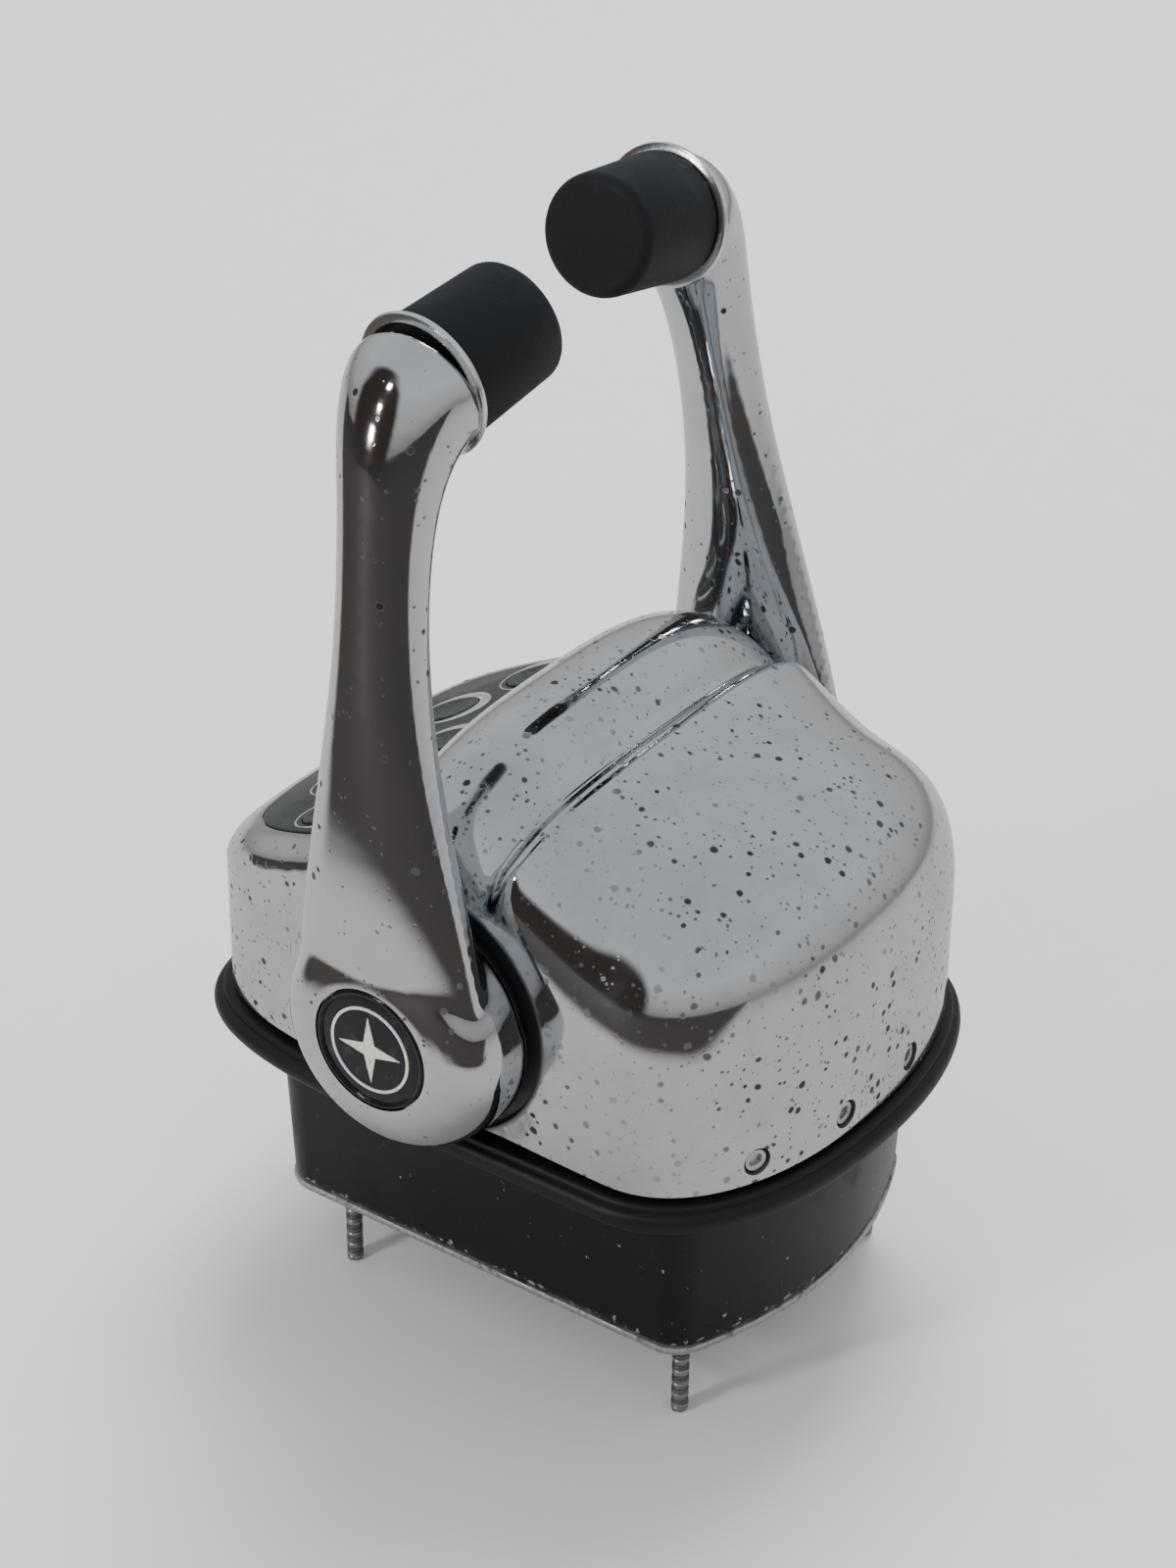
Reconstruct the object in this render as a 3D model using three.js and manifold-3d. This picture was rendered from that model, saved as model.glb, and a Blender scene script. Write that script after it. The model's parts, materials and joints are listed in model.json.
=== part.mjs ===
// Twin-lever electronic engine control head: a chromed casting with two shift and throttle
// levers, a rubber deck gasket, and a case below the deck with its base plate and four studs.
// Millimetres, +Z up, +X to the starboard lever, +Y ahead (the domed end), -Y the keypad end.
// The origin is the middle of the footprint, on the plane of the stud tips.
import * as THREE from 'three';
import { mergeVertices } from 'three/addons/utils/BufferGeometryUtils.js';
import Module from 'manifold-3d';

const wasm = await Module();
wasm.setup();

// Pivot of both levers
const PIVOT_Y = -2;
const PIVOT_Z = 103.5;
const TILT_STARBOARD = 2;       // degrees, towards the operator
const TILT_PORT = 7;

// Housing plan: a superellipse, rounder at the domed end than at the keypad end
const HALF_WIDTH = 62.2;
const PLAN_Y = 46.7;            // where the plan is widest
const DOME_LENGTH = 34.4;
const DOME_POWER = 2.21;
const KEY_LENGTH = 127.8;
const KEY_POWER = 4.93;
const SKIRT_Z = 74;
const WALL = 4.5;
const EDGE_FILLET = 4;
const KEY_FILLET = 7;            // at the keypad end

// Housing top, heights above the pivot
const RIDGE_RADIUS = 20;
const RIDGE_CENTRE = 40;
const RIDGE_END_DROP = 24;
const DOME_TOP = 51.5;
const DOME_START = 16;           // the dome's top slopes down from here
const DOME_SLOPE = 0.26;
const CROWN_POWER = 2.7;
const SIDE_LOW = 6;
const SIDE_HIGH = 42;
const PANEL_LOW = 10.5;         // panel plane height at PANEL_Y0
const PANEL_Y0 = -79;
const PANEL_SLOPE = 0.42;

// Keypad
const PANEL_INSET = 7.5;
const PANEL_TOP_Y = -28;
const PANEL_THICK = 1.3;
const PANEL_RECESS = 1;
const KEY_RADIUS = 7;
const KEY_SPOTS = [[-40, -47], [-21, -58], [0, -44], [21, -58], [40, -47]];

// Lever
const HUB_INNER = 62.8;
const HUB_RADIUS = 29.6;
const HUB_FACE = 83.4;
const BADGE_RADIUS = 15.1;
const COLLAR = [53, 0, 149.6];   // where the arm meets the grip, from the pivot
const GRIP_END = [24, 1.8, 154.2];
const COLLAR_RADIUS = 16.6;
const GRIP_RADIUS = 15.2;
const GRIP_END_RADIUS = 14.3;
const SPIGOT_RADIUS = 6;

// Shaft train
const SHAFT_RADIUS = 6;
const GAP = 0.3;
const GEAR_TEETH = 30;
const PINION_TEETH = 15;
const MODULE = 1;
const GEAR_X = [17, 21];         // both gears, along the shaft
const SENSOR_Y = 22.6;           // sensor axis ahead of the pivot
const DETENT_RADIUS = 14;
const DETENT_X = 26.5;
const DETENT_HALF = 1.7;
const PLUNGER_RADIUS = 2.5;
const SPRING_RADIUS = 3.5;
const SPRING_Z = [20, 30];       // above the pivot
const SPRING_TURNS = 4;

// Below the deck
const GASKET_Z = 67;
const CASE_Z = 24.3;
const PLATE_Z = 22;
const PLATE_THICK = 2;
const CASE_HALF = 49.5;
const CASE_END = 69.8;
const CASE_Y = 1.7;
const CASE_FLARE = 1.6;         // wider at the top
const CASE_WALL = 2.4;
const STUD_RADIUS = 2.1;
const CONNECTOR_X = [-18, 18];
const CONNECTOR_Y = 12;
const CONNECTOR_RADIUS = 8;
const STUDS = [[42, -42], [41.5, 55.5], [-41.5, 55.5], [-42, -42]];

const CHROME = { color: 0xc9ccd0, roughness: 0.12, metalness: 1 };
const RUBBER = { color: 0x101214, roughness: 0.55, metalness: 0 };
const PAINT = { color: 0x0c0f11, roughness: 0.4, metalness: 0 };
const GRIP = { color: 0x15181c, roughness: 0.7, metalness: 0 };
const STEEL = { color: 0x8f9296, roughness: 0.4, metalness: 1 };
const PANEL = { color: 0x2c3433, roughness: 0.45, metalness: 0 };
const KEY = { color: 0x232a2a, roughness: 0.55, metalness: 0 };
const BADGE = { color: 0x08090b, roughness: 0.15, metalness: 0 };
const BRASS = { color: 0xb08d4a, roughness: 0.4, metalness: 1 };
const BOARD = { color: 0x1f5a36, roughness: 0.6, metalness: 0 };

const root = new THREE.Group();

// ---- solids ---------------------------------------------------------------------------------

function plain(geometry) {
  const copy = geometry.clone();
  for (const name of ['normal', 'uv']) {
    if (copy.attributes[name]) copy.deleteAttribute(name);
  }
  return mergeVertices(copy, 1e-4);
}

function solid(geometry) {
  const merged = plain(geometry);
  const index = merged.index.array;
  const kept = [];
  for (let i = 0; i < index.length; i += 3) {
    const [a, b, c] = [index[i], index[i + 1], index[i + 2]];
    if (a !== b && b !== c && a !== c) kept.push(a, b, c);
  }
  return new wasm.Manifold(new wasm.Mesh({
    numProp: 3,
    vertProperties: new Float32Array(merged.attributes.position.array),
    triVerts: new Uint32Array(kept),
  }));
}

function geometryOf(manifold) {
  const mesh = manifold.getMesh();
  const geometry = new THREE.BufferGeometry();
  geometry.setAttribute('position', new THREE.BufferAttribute(mesh.vertProperties, 3));
  geometry.setIndex(new THREE.BufferAttribute(mesh.triVerts, 1));
  geometry.computeVertexNormals();
  return geometry;
}

function cut(base, tools) {
  let body = solid(base);
  for (const tool of tools) body = body.subtract(solid(tool));
  return geometryOf(body);
}

function join(pieces) {
  let body = solid(pieces[0]);
  for (const piece of pieces.slice(1)) body = body.add(solid(piece));
  return geometryOf(body);
}

function mirrorX(geometry) {
  const flipped = plain(geometry);
  flipped.scale(-1, 1, 1);
  const index = flipped.index.array;
  for (let i = 0; i < index.length; i += 3) {
    const held = index[i];
    index[i] = index[i + 1];
    index[i + 1] = held;
  }
  flipped.computeVertexNormals();
  return flipped;
}

function place(parent, name, geometry, look) {
  const mesh = new THREE.Mesh(geometry, new THREE.MeshStandardMaterial(look));
  mesh.name = name;
  parent.add(mesh);
  return mesh;
}

// A turned piece: profile points are [radius, distance along the axis]
function turned(profile, axis, segments = 32) {
  const points = profile.map(([r, h]) => new THREE.Vector2(r, h));
  const geometry = new THREE.LatheGeometry(points, segments);
  if (axis === 'x') geometry.rotateZ(-Math.PI / 2);
  if (axis === 'z') geometry.rotateX(Math.PI / 2);
  return geometry;
}

function disc(radius, from, to, axis, segments = 32) {
  return turned([[0, from], [radius, from], [radius, to], [0, to]], axis, segments);
}

function ring(inner, outer, from, to, axis, segments = 32) {
  const profile = [[inner, from], [outer, from], [outer, to], [inner, to], [inner, from]];
  return turned(profile, axis, segments);
}

function block(x0, x1, y0, y1, z0, z1) {
  const geometry = new THREE.BoxGeometry(x1 - x0, y1 - y0, z1 - z0);
  geometry.translate((x0 + x1) / 2, (y0 + y1) / 2, (z0 + z1) / 2);
  return geometry;
}

// An upright prism over a closed outline of [x, y] points
function prism(outline, z0, z1) {
  const shape = new THREE.Shape(outline.map(([x, y]) => new THREE.Vector2(x, y)));
  const geometry = new THREE.ExtrudeGeometry(shape, { depth: z1 - z0, bevelEnabled: false });
  geometry.translate(0, 0, z0);
  return geometry;
}

// A closed skin through rings of points, every ring the same length, capped at both ends
function skin(rings) {
  const count = rings[0].length;
  const points = rings.flat();
  const index = [];
  for (let j = 0; j + 1 < rings.length; j += 1) {
    for (let i = 0; i < count; i += 1) {
      const next = (i + 1) % count;
      const [a, b] = [j * count + i, j * count + next];
      const [c, d] = [b + count, a + count];
      index.push(a, b, c, a, c, d);
    }
  }
  for (const [j, flip] of [[0, true], [rings.length - 1, false]]) {
    const middle = points.length;
    const total = [0, 0, 0];
    for (const p of rings[j]) {
      for (let k = 0; k < 3; k += 1) total[k] += p[k] / count;
    }
    points.push(total);
    for (let i = 0; i < count; i += 1) {
      const a = j * count + i;
      const b = j * count + ((i + 1) % count);
      if (flip) index.push(middle, b, a);
      else index.push(middle, a, b);
    }
  }
  const geometry = new THREE.BufferGeometry();
  geometry.setAttribute('position', new THREE.Float32BufferAttribute(points.flat(), 3));
  geometry.setIndex(index);
  geometry.computeVertexNormals();
  return geometry;
}

// ---- housing --------------------------------------------------------------------------------

function planEnd(y) {
  const ahead = y > PLAN_Y;
  return ahead ? [DOME_LENGTH, DOME_POWER] : [KEY_LENGTH, KEY_POWER];
}

// Half width of the plan at y, the whole plan grown by a margin
function halfWidth(y, grow = 0) {
  const [length, power] = planEnd(y);
  const part = Math.min(Math.abs(y - PLAN_Y) / (length + grow), 1);
  return (HALF_WIDTH + grow) * (1 - part ** power) ** (1 / power);
}

function planRadius(x, y) {
  const [length, power] = planEnd(y);
  const sum = Math.abs(x / HALF_WIDTH) ** power + Math.abs((y - PLAN_Y) / length) ** power;
  return Math.min(sum ** (1 / power), 1);
}

function outline(grow, count = 72) {
  const points = [];
  for (let i = 0; i < count; i += 1) {
    const angle = (2 * Math.PI * i) / count;
    const [c, s] = [Math.cos(angle), Math.sin(angle)];
    const ahead = s > 0;
    const power = ahead ? DOME_POWER : KEY_POWER;
    const length = (ahead ? DOME_LENGTH : KEY_LENGTH) + grow;
    const x = (HALF_WIDTH + grow) * Math.sign(c) * Math.abs(c) ** (2 / power);
    const y = PLAN_Y + length * Math.sign(s) * Math.abs(s) ** (2 / power);
    points.push([x, y]);
  }
  return points;
}

function smoothMax(a, b, k) {
  const h = Math.max(k - Math.abs(a - b), 0) / k;
  return Math.max(a, b) + (h * h * k) / 4;
}

function panelPlane(y) {
  return PANEL_LOW + PANEL_SLOPE * (y - PANEL_Y0);
}

// Height of the housing top above the pivot
function topHeight(x, y) {
  const across = Math.min(Math.abs(x) / HALF_WIDTH, 1);
  const off = Math.abs(y - PIVOT_Y);
  let ridge = RIDGE_CENTRE - 3 * (off - RIDGE_RADIUS);
  if (off < RIDGE_RADIUS) ridge = RIDGE_CENTRE + Math.sqrt(RIDGE_RADIUS ** 2 - off ** 2);
  ridge -= RIDGE_END_DROP * (1 - (1 - across ** 3) ** 0.6);
  const rise = Math.min(Math.max((52 - y) / 50, 0), 1);
  const side = SIDE_LOW + (SIDE_HIGH - SIDE_LOW) * rise * rise * (3 - 2 * rise);
  const crown = (1 - planRadius(x, y) ** CROWN_POWER) ** (1 / CROWN_POWER);
  const top = DOME_TOP - DOME_SLOPE * Math.max(y - DOME_START, 0);
  const dome = side + (top - side) * crown - 0.25 * Math.max(20 - y, 0) ** 2;
  const behind = panelPlane(-22) - (y + 22);
  const panel = Math.min(panelPlane(y), behind);
  return smoothMax(smoothMax(ridge, dome, 4), panel, 3);
}

// The outline with points about half a millimetre apart
function evenOutline() {
  const points = outline(0, 720);
  const even = [];
  points.forEach(([x, y], i) => {
    const [u, v] = points[(i + 1) % points.length];
    const steps = Math.ceil(Math.hypot(u - x, v - y) / 0.5);
    for (let k = 0; k < steps; k += 1) {
      even.push([x + ((u - x) * k) / steps, y + ((v - y) * k) / steps]);
    }
  });
  return even;
}

const OUTLINE_FINE = evenOutline();

function edgeDistance(x, y) {
  let best = Infinity;
  for (const [u, v] of OUTLINE_FINE) best = Math.min(best, Math.hypot(u - x, v - y));
  return best;
}

function filletDrop(x, y) {
  const towardsKeys = Math.min(Math.max((-20 - y) / 30, 0), 1);
  const radius = EDGE_FILLET + (KEY_FILLET - EDGE_FILLET) * towardsKeys;
  const inside = Math.min(edgeDistance(x, y), radius);
  return radius - Math.sqrt(radius ** 2 - (radius - inside) ** 2);
}

const ROWS = [-81, -80.7, -79.8, -78, -75, -70, -62, -52, -42, -34, -28, -24.5, -22.8, -21.4,
  -19.5, -16, -11, -6.5, -2, 2.5, 7, 11, 14, 17, 20.5, 25, 31, 38, 46, 54, 61, 67, 72, 75.5,
  78, 79.8, 80.7, 81];

// The body under the top surface: a grid of rows across x, walls down to a flat bottom
function under(grow, lower, bottom, columns) {
  const scale = (KEY_LENGTH + grow) / KEY_LENGTH;
  const rows = ROWS.map((y) => (y < PLAN_Y ? PLAN_Y + (y - PLAN_Y) * scale
    : PLAN_Y + ((y - PLAN_Y) * (DOME_LENGTH + grow)) / DOME_LENGTH));
  const points = [];
  const index = [];
  const ids = rows.map((y, j) => {
    const half = halfWidth(y, grow);
    const row = [];
    for (let i = 0; i <= columns; i += 1) {
      if ((j === 0 || j === rows.length - 1) && i > 0) {
        row.push(row[0]);
      } else {
        const single = j === 0 || j === rows.length - 1;
        const x = single ? 0 : half * Math.sin((Math.PI * (i / columns - 0.5)));
        const z = PIVOT_Z + topHeight(x, y) - (grow === 0 ? filletDrop(x, y) : 0) - lower;
        points.push([x, y, z]);
        row.push(points.length - 1);
      }
    }
    return row;
  });
  for (let j = 0; j + 1 < ids.length; j += 1) {
    for (let i = 0; i < columns; i += 1) {
      const [a, b, c, d] = [ids[j][i], ids[j][i + 1], ids[j + 1][i + 1], ids[j + 1][i]];
      if (a !== b) index.push(a, b, c);
      if (c !== d) index.push(a, c, d);
    }
  }
  const rim = [];
  for (let j = 0; j < ids.length; j += 1) rim.push(ids[j][columns]);
  for (let j = ids.length - 2; j > 0; j -= 1) rim.push(ids[j][0]);
  const foot = rim.map((id) => {
    points.push([points[id][0], points[id][1], bottom]);
    return points.length - 1;
  });
  points.push([0, 0, bottom]);
  const middle = points.length - 1;
  for (let i = 0; i < rim.length; i += 1) {
    const k = (i + 1) % rim.length;
    index.push(rim[i], foot[i], foot[k], rim[i], foot[k], rim[k]);
    index.push(middle, foot[k], foot[i]);
  }
  const geometry = new THREE.BufferGeometry();
  geometry.setAttribute('position', new THREE.Float32BufferAttribute(points.flat(), 3));
  geometry.setIndex(index);
  return geometry;
}

// Panel outline in plan, inset from the housing edge and closed by a straight edge
function panelOutline(inset) {
  const points = outline(-PANEL_INSET - inset, 64).filter(([, y]) => y < PANEL_TOP_Y - inset);
  const half = halfWidth(PANEL_TOP_Y - inset, -PANEL_INSET - inset);
  const corner = 4;
  return [[-half + corner, PANEL_TOP_Y - inset], [-half, PANEL_TOP_Y - inset - corner],
    ...points.filter(([, y]) => y < PANEL_TOP_Y - inset - corner - 1),
    [half, PANEL_TOP_Y - inset - corner], [half - corner, PANEL_TOP_Y - inset]];
}

const PANEL_ANGLE = Math.atan(PANEL_SLOPE);

// Puts a piece built flat (z = height above the panel plane) on to the sloping panel
function ontoPanel(geometry, y = 0) {
  geometry.rotateX(PANEL_ANGLE);
  geometry.translate(0, y, PIVOT_Z + panelPlane(y));
  return geometry;
}

function panelPrism(inset, low, high) {
  const flat = panelOutline(inset).map(([x, y]) => [x, y / Math.cos(PANEL_ANGLE)]);
  return ontoPanel(prism(flat, low, high));
}

function keyTool([x, y], radius, low, high, segments = 22) {
  const geometry = disc(radius, low, high, 'z', segments);
  geometry.translate(x, 0, 0);
  return ontoPanel(geometry, y);
}

const SCREW_X = [-41, -14, 14, 41];
const SCREW_Z = PIVOT_Z - 22.8;

// Puts a piece turned about +X at an adjuster hole, its +X pointing out of the domed end
function atAdjuster(geometry, x) {
  const power = DOME_POWER;
  const y = PLAN_Y + DOME_LENGTH * (1 - Math.abs(x / HALF_WIDTH) ** power) ** (1 / power);
  const nx = (Math.sign(x) * Math.abs(x / HALF_WIDTH) ** (power - 1)) / HALF_WIDTH;
  const ny = (Math.abs((y - PLAN_Y) / DOME_LENGTH) ** (power - 1)) / DOME_LENGTH;
  geometry.rotateZ(Math.atan2(ny, nx));
  geometry.translate(x, y, SCREW_Z);
  return geometry;
}

function upperHousing() {
  const tools = [under(-WALL, WALL, SKIRT_Z - 2, 10)];
  tools.push(panelPrism(-GAP, -PANEL_RECESS, 30));
  tools.push(panelPrism(2, -12, 30));
  for (const side of [-1, 1]) {
    const pocket = disc(31.6, 60, 90, 'x', 36);
    const bore = disc(9 + GAP, 40, 90, 'x', 20);
    for (const tool of [pocket, bore]) {
      tool.translate(0, PIVOT_Y, PIVOT_Z);
      tools.push(side > 0 ? tool : mirrorX(tool));
    }
  }
  for (const x of SCREW_X) {
    tools.push(atAdjuster(turned([[0, -12], [2 + GAP, -12], [2 + GAP, -2.4], [3.4, -2.4],
      [3.4, 6], [0, 6]], 'x', 14), x));
  }
  return cut(under(0, 0, SKIRT_Z, 18), tools);
}

function adjusterScrew(x) {
  const profile = [[0, -11.5], [2, -11.5], [2, -2.1], [2.9, -2.1], [2.9, -0.8], [1.5, -0.8],
    [1.5, -1.8], [0, -1.8]];
  return atAdjuster(turned(profile, 'x', 14), x);
}

// ---- gasket, case, plate and studs ----------------------------------------------------------

function lowerOutline(grow, count = 64) {
  const points = [];
  const radius = 9 + grow;
  const half = CASE_HALF + grow;
  const bow = 14;
  const end = CASE_END + grow;
  for (const [sx, sy] of [[1, 1], [-1, 1], [-1, -1], [1, -1]]) {
    const corner = [];
    const cx = half - radius;
    const slope = (2 * bow * cx) / (half * half);
    const sweep = Math.PI / 2 - Math.atan(slope);
    const cy = end - bow * (cx / half) ** 2 - radius;
    for (let i = 0; i <= 5; i += 1) {
      const angle = (sweep * i) / 5;
      corner.push([cx + radius * Math.cos(angle), cy + radius * Math.sin(angle)]);
    }
    const last = corner[corner.length - 1];
    for (let i = 1; i <= 5; i += 1) {
      const x = last[0] * (1 - i / 5);
      const rise = (end - last[1]) * (1 - (x / last[0]) ** 2);
      corner.push([x, last[1] + rise]);
    }
    corner.pop();
    corner.push([0, end]);
    const turn = sx * sy > 0 ? corner : corner.slice().reverse();
    for (const [x, y] of turn) {
      const p = [sx * x, sy * y + CASE_Y];
      const [q] = points.slice(-1);
      if (!q || Math.hypot(p[0] - q[0], p[1] - q[1]) > 0.01) points.push(p);
    }
  }
  const [first] = points;
  const [lastPoint] = points.slice(-1);
  if (Math.hypot(first[0] - lastPoint[0], first[1] - lastPoint[1]) < 0.01) points.pop();
  return points;
}

function gasket() {
  const layers = [[2.2, GASKET_Z], [3.6, 68.2], [3.9, 70.2], [3.3, 71.6], [2.3, 72.2],
    [1.9, 73.2], [1, 73.6]];
  const rings = layers.map(([grow, z]) => outline(grow, 54).map(([x, y]) => [x, y, z]));
  const outer = skin(rings);
  return cut(outer, [prism(lowerOutline(CASE_FLARE + GAP), GASKET_Z - 5, SKIRT_Z + 10)]);
}

function caseBody() {
  const at = (grow, z) => lowerOutline(grow).map(([x, y]) => [x, y, z]);
  const outer = skin([at(0, CASE_Z), at(CASE_FLARE, GASKET_Z - 1), at(CASE_FLARE, SKIRT_Z - GAP)]);
  const inner = skin([at(-CASE_WALL, CASE_Z - 1), at(CASE_FLARE - CASE_WALL, SKIRT_Z + 1)]);
  return cut(outer, [inner]);
}

function studAt([x, y]) {
  const shank = disc(STUD_RADIUS, 0, 36, 'z', 14);
  const nut = disc(2.9, CASE_Z + 0.1, CASE_Z + 3.4, 'z', 6);
  const piece = join([shank, nut]);
  piece.translate(x, y, 0);
  return piece;
}

function connector(x) {
  const seat = PLATE_Z + PLATE_THICK + GAP;
  const shell = turned([[0, 13], [6.5, 13], [6.5, 9], [CONNECTOR_RADIUS, 9],
    [CONNECTOR_RADIUS, seat], [10, seat], [10, 27], [6.2, 27], [6.2, 32], [0, 32]], 'z', 20);
  shell.translate(x, CONNECTOR_Y, 0);
  return shell;
}

function basePlate() {
  const holes = STUDS.map(([x, y]) => disc(STUD_RADIUS + GAP, 20, 30, 'z', 20).translate(x, y, 0));
  for (const x of CONNECTOR_X) {
    holes.push(disc(CONNECTOR_RADIUS + GAP, 20, 30, 'z', 28).translate(x, CONNECTOR_Y, 0));
  }
  return cut(prism(lowerOutline(0.4), PLATE_Z, PLATE_Z + PLATE_THICK), holes);
}

place(root, 'upper_housing', upperHousing(), CHROME);
place(root, 'deck_gasket', gasket(), RUBBER);
place(root, 'lower_case', caseBody(), PAINT);
place(root, 'base_plate', basePlate(), STEEL);
STUDS.forEach((spot, i) => place(root, `mounting_stud_${i + 1}`, studAt(spot), STEEL));
SCREW_X.forEach((x, i) => place(root, `adjuster_screw_${i + 1}`, adjusterScrew(x), STEEL));
place(root, 'connector_port', connector(CONNECTOR_X[0]), PAINT);
place(root, 'connector_starboard', connector(CONNECTOR_X[1]), PAINT);

// ---- keypad ---------------------------------------------------------------------------------

function keypadPanel() {
  const holes = KEY_SPOTS.map((spot) => keyTool(spot, KEY_RADIUS + GAP, -5, 5));
  const low = -PANEL_RECESS + 0.05;
  return cut(panelPrism(0, low, low + PANEL_THICK), holes);
}

function keyCap(spot) {
  const profile = [[0, -2], [KEY_RADIUS, -2], [KEY_RADIUS, 0.5], [KEY_RADIUS - 0.8, 1],
    [0, 0.8]];
  const geometry = turned(profile, 'z', 22);
  geometry.translate(spot[0], 0, 0);
  return ontoPanel(geometry, spot[1]);
}

place(root, 'keypad_panel', keypadPanel(), PANEL);
KEY_SPOTS.forEach((spot, i) => place(root, `key_${i + 1}`, keyCap(spot), KEY));
place(root, 'keypad_board', panelPrism(3, -4.6, -3), BOARD);

// ---- shaft train carrier and circuit board --------------------------------------------------

function bearingBlock() {
  const pieces = [block(-44, 44, -16, 14, -24, -19)];
  pieces.push(block(-14, 14, -14, 12, -20, 34));
  pieces.push(block(-40, 40, -7, 7, 31, 35));
  for (const side of [-1, 1]) {
    const [a, b] = side > 0 ? [36, 40] : [-40, -36];
    pieces.push(block(a, b, -16, 31, -20, 12));
    pieces.push(block(a, b, -7, 7, 10, 35));
    const [c, d] = side > 0 ? [41, 44] : [-44, -41];
    pieces.push(block(c, d, -16, 14, CASE_Z + GAP - PIVOT_Z, -20));
  }
  const holes = [disc(SHAFT_RADIUS + GAP, -60, 60, 'x', 28)];
  for (const x of [-DETENT_X, DETENT_X]) {
    holes.push(disc(PLUNGER_RADIUS + GAP, 20, 50, 'z', 16).translate(x, 0, 0));
  }
  return cut(join(pieces), holes).translate(0, PIVOT_Y, PIVOT_Z);
}

function circuitBoard() {
  const body = [block(-38, 38, -34, 44, 46, 47.6)];
  body.push(block(-16, 4, -8, 12, 47.5, 50.5));
  body.push(block(14, 30, 18, 36, 47.5, 53));
  body.push(block(-30, -14, 18, 36, 47.5, 51.5));
  return join(body);
}

place(root, 'bearing_block', bearingBlock(), STEEL);
place(root, 'circuit_board', circuitBoard(), BOARD);

// ---- levers, both built for the starboard side about the pivot axis ------------------------

const GRIP_AXIS = new THREE.Vector3(...GRIP_END).sub(new THREE.Vector3(...COLLAR));
const GRIP_LENGTH = GRIP_AXIS.length();
GRIP_AXIS.normalize();

function leverArm() {
  // centre x, z, half depth across the bend, half width along y
  const stations = [[74, 0, 8.2, 27], [74.2, 12, 8.6, 26.2], [74.4, 24, 9, 24.2],
    [74.6, 36, 9.3, 21.6], [74.6, 48, 9.4, 18.9], [74.4, 60, 9.3, 16.4], [74, 72, 9.2, 14.2],
    [73, 84, 8.9, 12.3], [71.8, 96, 8.7, 11.1], [70.4, 108, 8.8, 10.6], [68.8, 119, 9.2, 10.7],
    [66.9, 128.5, 10, 11.4], [64.7, 136.4, 11.3, 12.7], [62, 142.2, 12.9, 14.1],
    [59.1, 146, 14.6, 15.3], [56.3, 148.4, 16, 16.3],
    [COLLAR[0], COLLAR[2], COLLAR_RADIUS, COLLAR_RADIUS]];
  const rings = stations.map(([x, z, deep, wide], j) => {
    const [px, pz] = stations[Math.max(j - 1, 0)];
    const [nx, nz] = stations[Math.min(j + 1, stations.length - 1)];
    let [tx, tz] = [nx - px, nz - pz];
    if (j === 0) [tx, tz] = [0, 1];
    if (j === stations.length - 1) [tx, tz] = [GRIP_END[0] - COLLAR[0], GRIP_END[2] - COLLAR[2]];
    const size = Math.hypot(tx, tz);
    const [ux, uz] = [tz / size, -tx / size];
    const ringPoints = [];
    for (let i = 0; i < 20; i += 1) {
      const angle = (2 * Math.PI * i) / 20;
      const a = deep * Math.cos(angle);
      const b = wide * Math.sin(angle);
      ringPoints.push([x + a * ux, b, z + a * uz]);
    }
    return ringPoints;
  });
  const hub = turned([[0, HUB_INNER], [HUB_RADIUS - 1.5, HUB_INNER],
    [HUB_RADIUS, HUB_INNER + 1.5], [HUB_RADIUS, 71.5], [HUB_RADIUS - 1, 75.4],
    [HUB_RADIUS - 3.4, 79.4], [HUB_RADIUS - 7, 81.7], [HUB_RADIUS - 11.4, 83],
    [BADGE_RADIUS + 1.2, HUB_FACE], [0, HUB_FACE]], 'x', 32);
  const arm = join([hub, skin(rings)]);
  const holes = [disc(BADGE_RADIUS + GAP, 81.4, 90, 'x', 30)];
  holes.push(disc(7, 76, 90, 'x', 16));
  holes.push(disc(3 + GAP, 60, 90, 'x', 14));
  holes.push(disc(SHAFT_RADIUS + GAP, 60, 74, 'x', 20));
  holes.push(alongGrip(disc(SPIGOT_RADIUS + GAP, -14, 6, 'x', 16)));
  return cut(arm, holes);
}

// Lays a piece turned about +X along the grip axis, its zero at the collar
function alongGrip(geometry) {
  const turn = new THREE.Quaternion();
  turn.setFromUnitVectors(new THREE.Vector3(1, 0, 0), GRIP_AXIS);
  geometry.applyQuaternion(turn);
  geometry.translate(COLLAR[0], COLLAR[1], COLLAR[2]);
  return geometry;
}

function grip() {
  const profile = [[0, -13.5], [SPIGOT_RADIUS, -13.5], [SPIGOT_RADIUS, 1], [GRIP_RADIUS - 0.6, 1],
    [GRIP_RADIUS, 1.8], [GRIP_END_RADIUS, GRIP_LENGTH - 2.2],
    [GRIP_END_RADIUS - 0.7, GRIP_LENGTH - 0.7], [GRIP_END_RADIUS - 2.2, GRIP_LENGTH],
    [0, GRIP_LENGTH + 0.3]];
  return alongGrip(turned(profile, 'x', 30));
}

function badge() {
  return turned([[0, 81.7], [BADGE_RADIUS, 81.7], [BADGE_RADIUS, 83], [BADGE_RADIUS - 0.6, 83.5],
    [BADGE_RADIUS - 1.6, 83.5], [BADGE_RADIUS - 2, 83.1], [0, 83.4]], 'x', 30);
}

function hubBolt() {
  return turned([[0, 64], [2.7, 64], [2.7, 76.3], [5.6, 76.3], [5.6, 81], [2.6, 81],
    [2.6, 78.6], [0, 78.6]], 'x', 14);
}

function shaft() {
  return turned([[0, 1.5], [SHAFT_RADIUS, 1.5], [SHAFT_RADIUS, 73.7], [3, 73.7], [3, 62],
    [0, 62]], 'x', 28);
}

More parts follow.
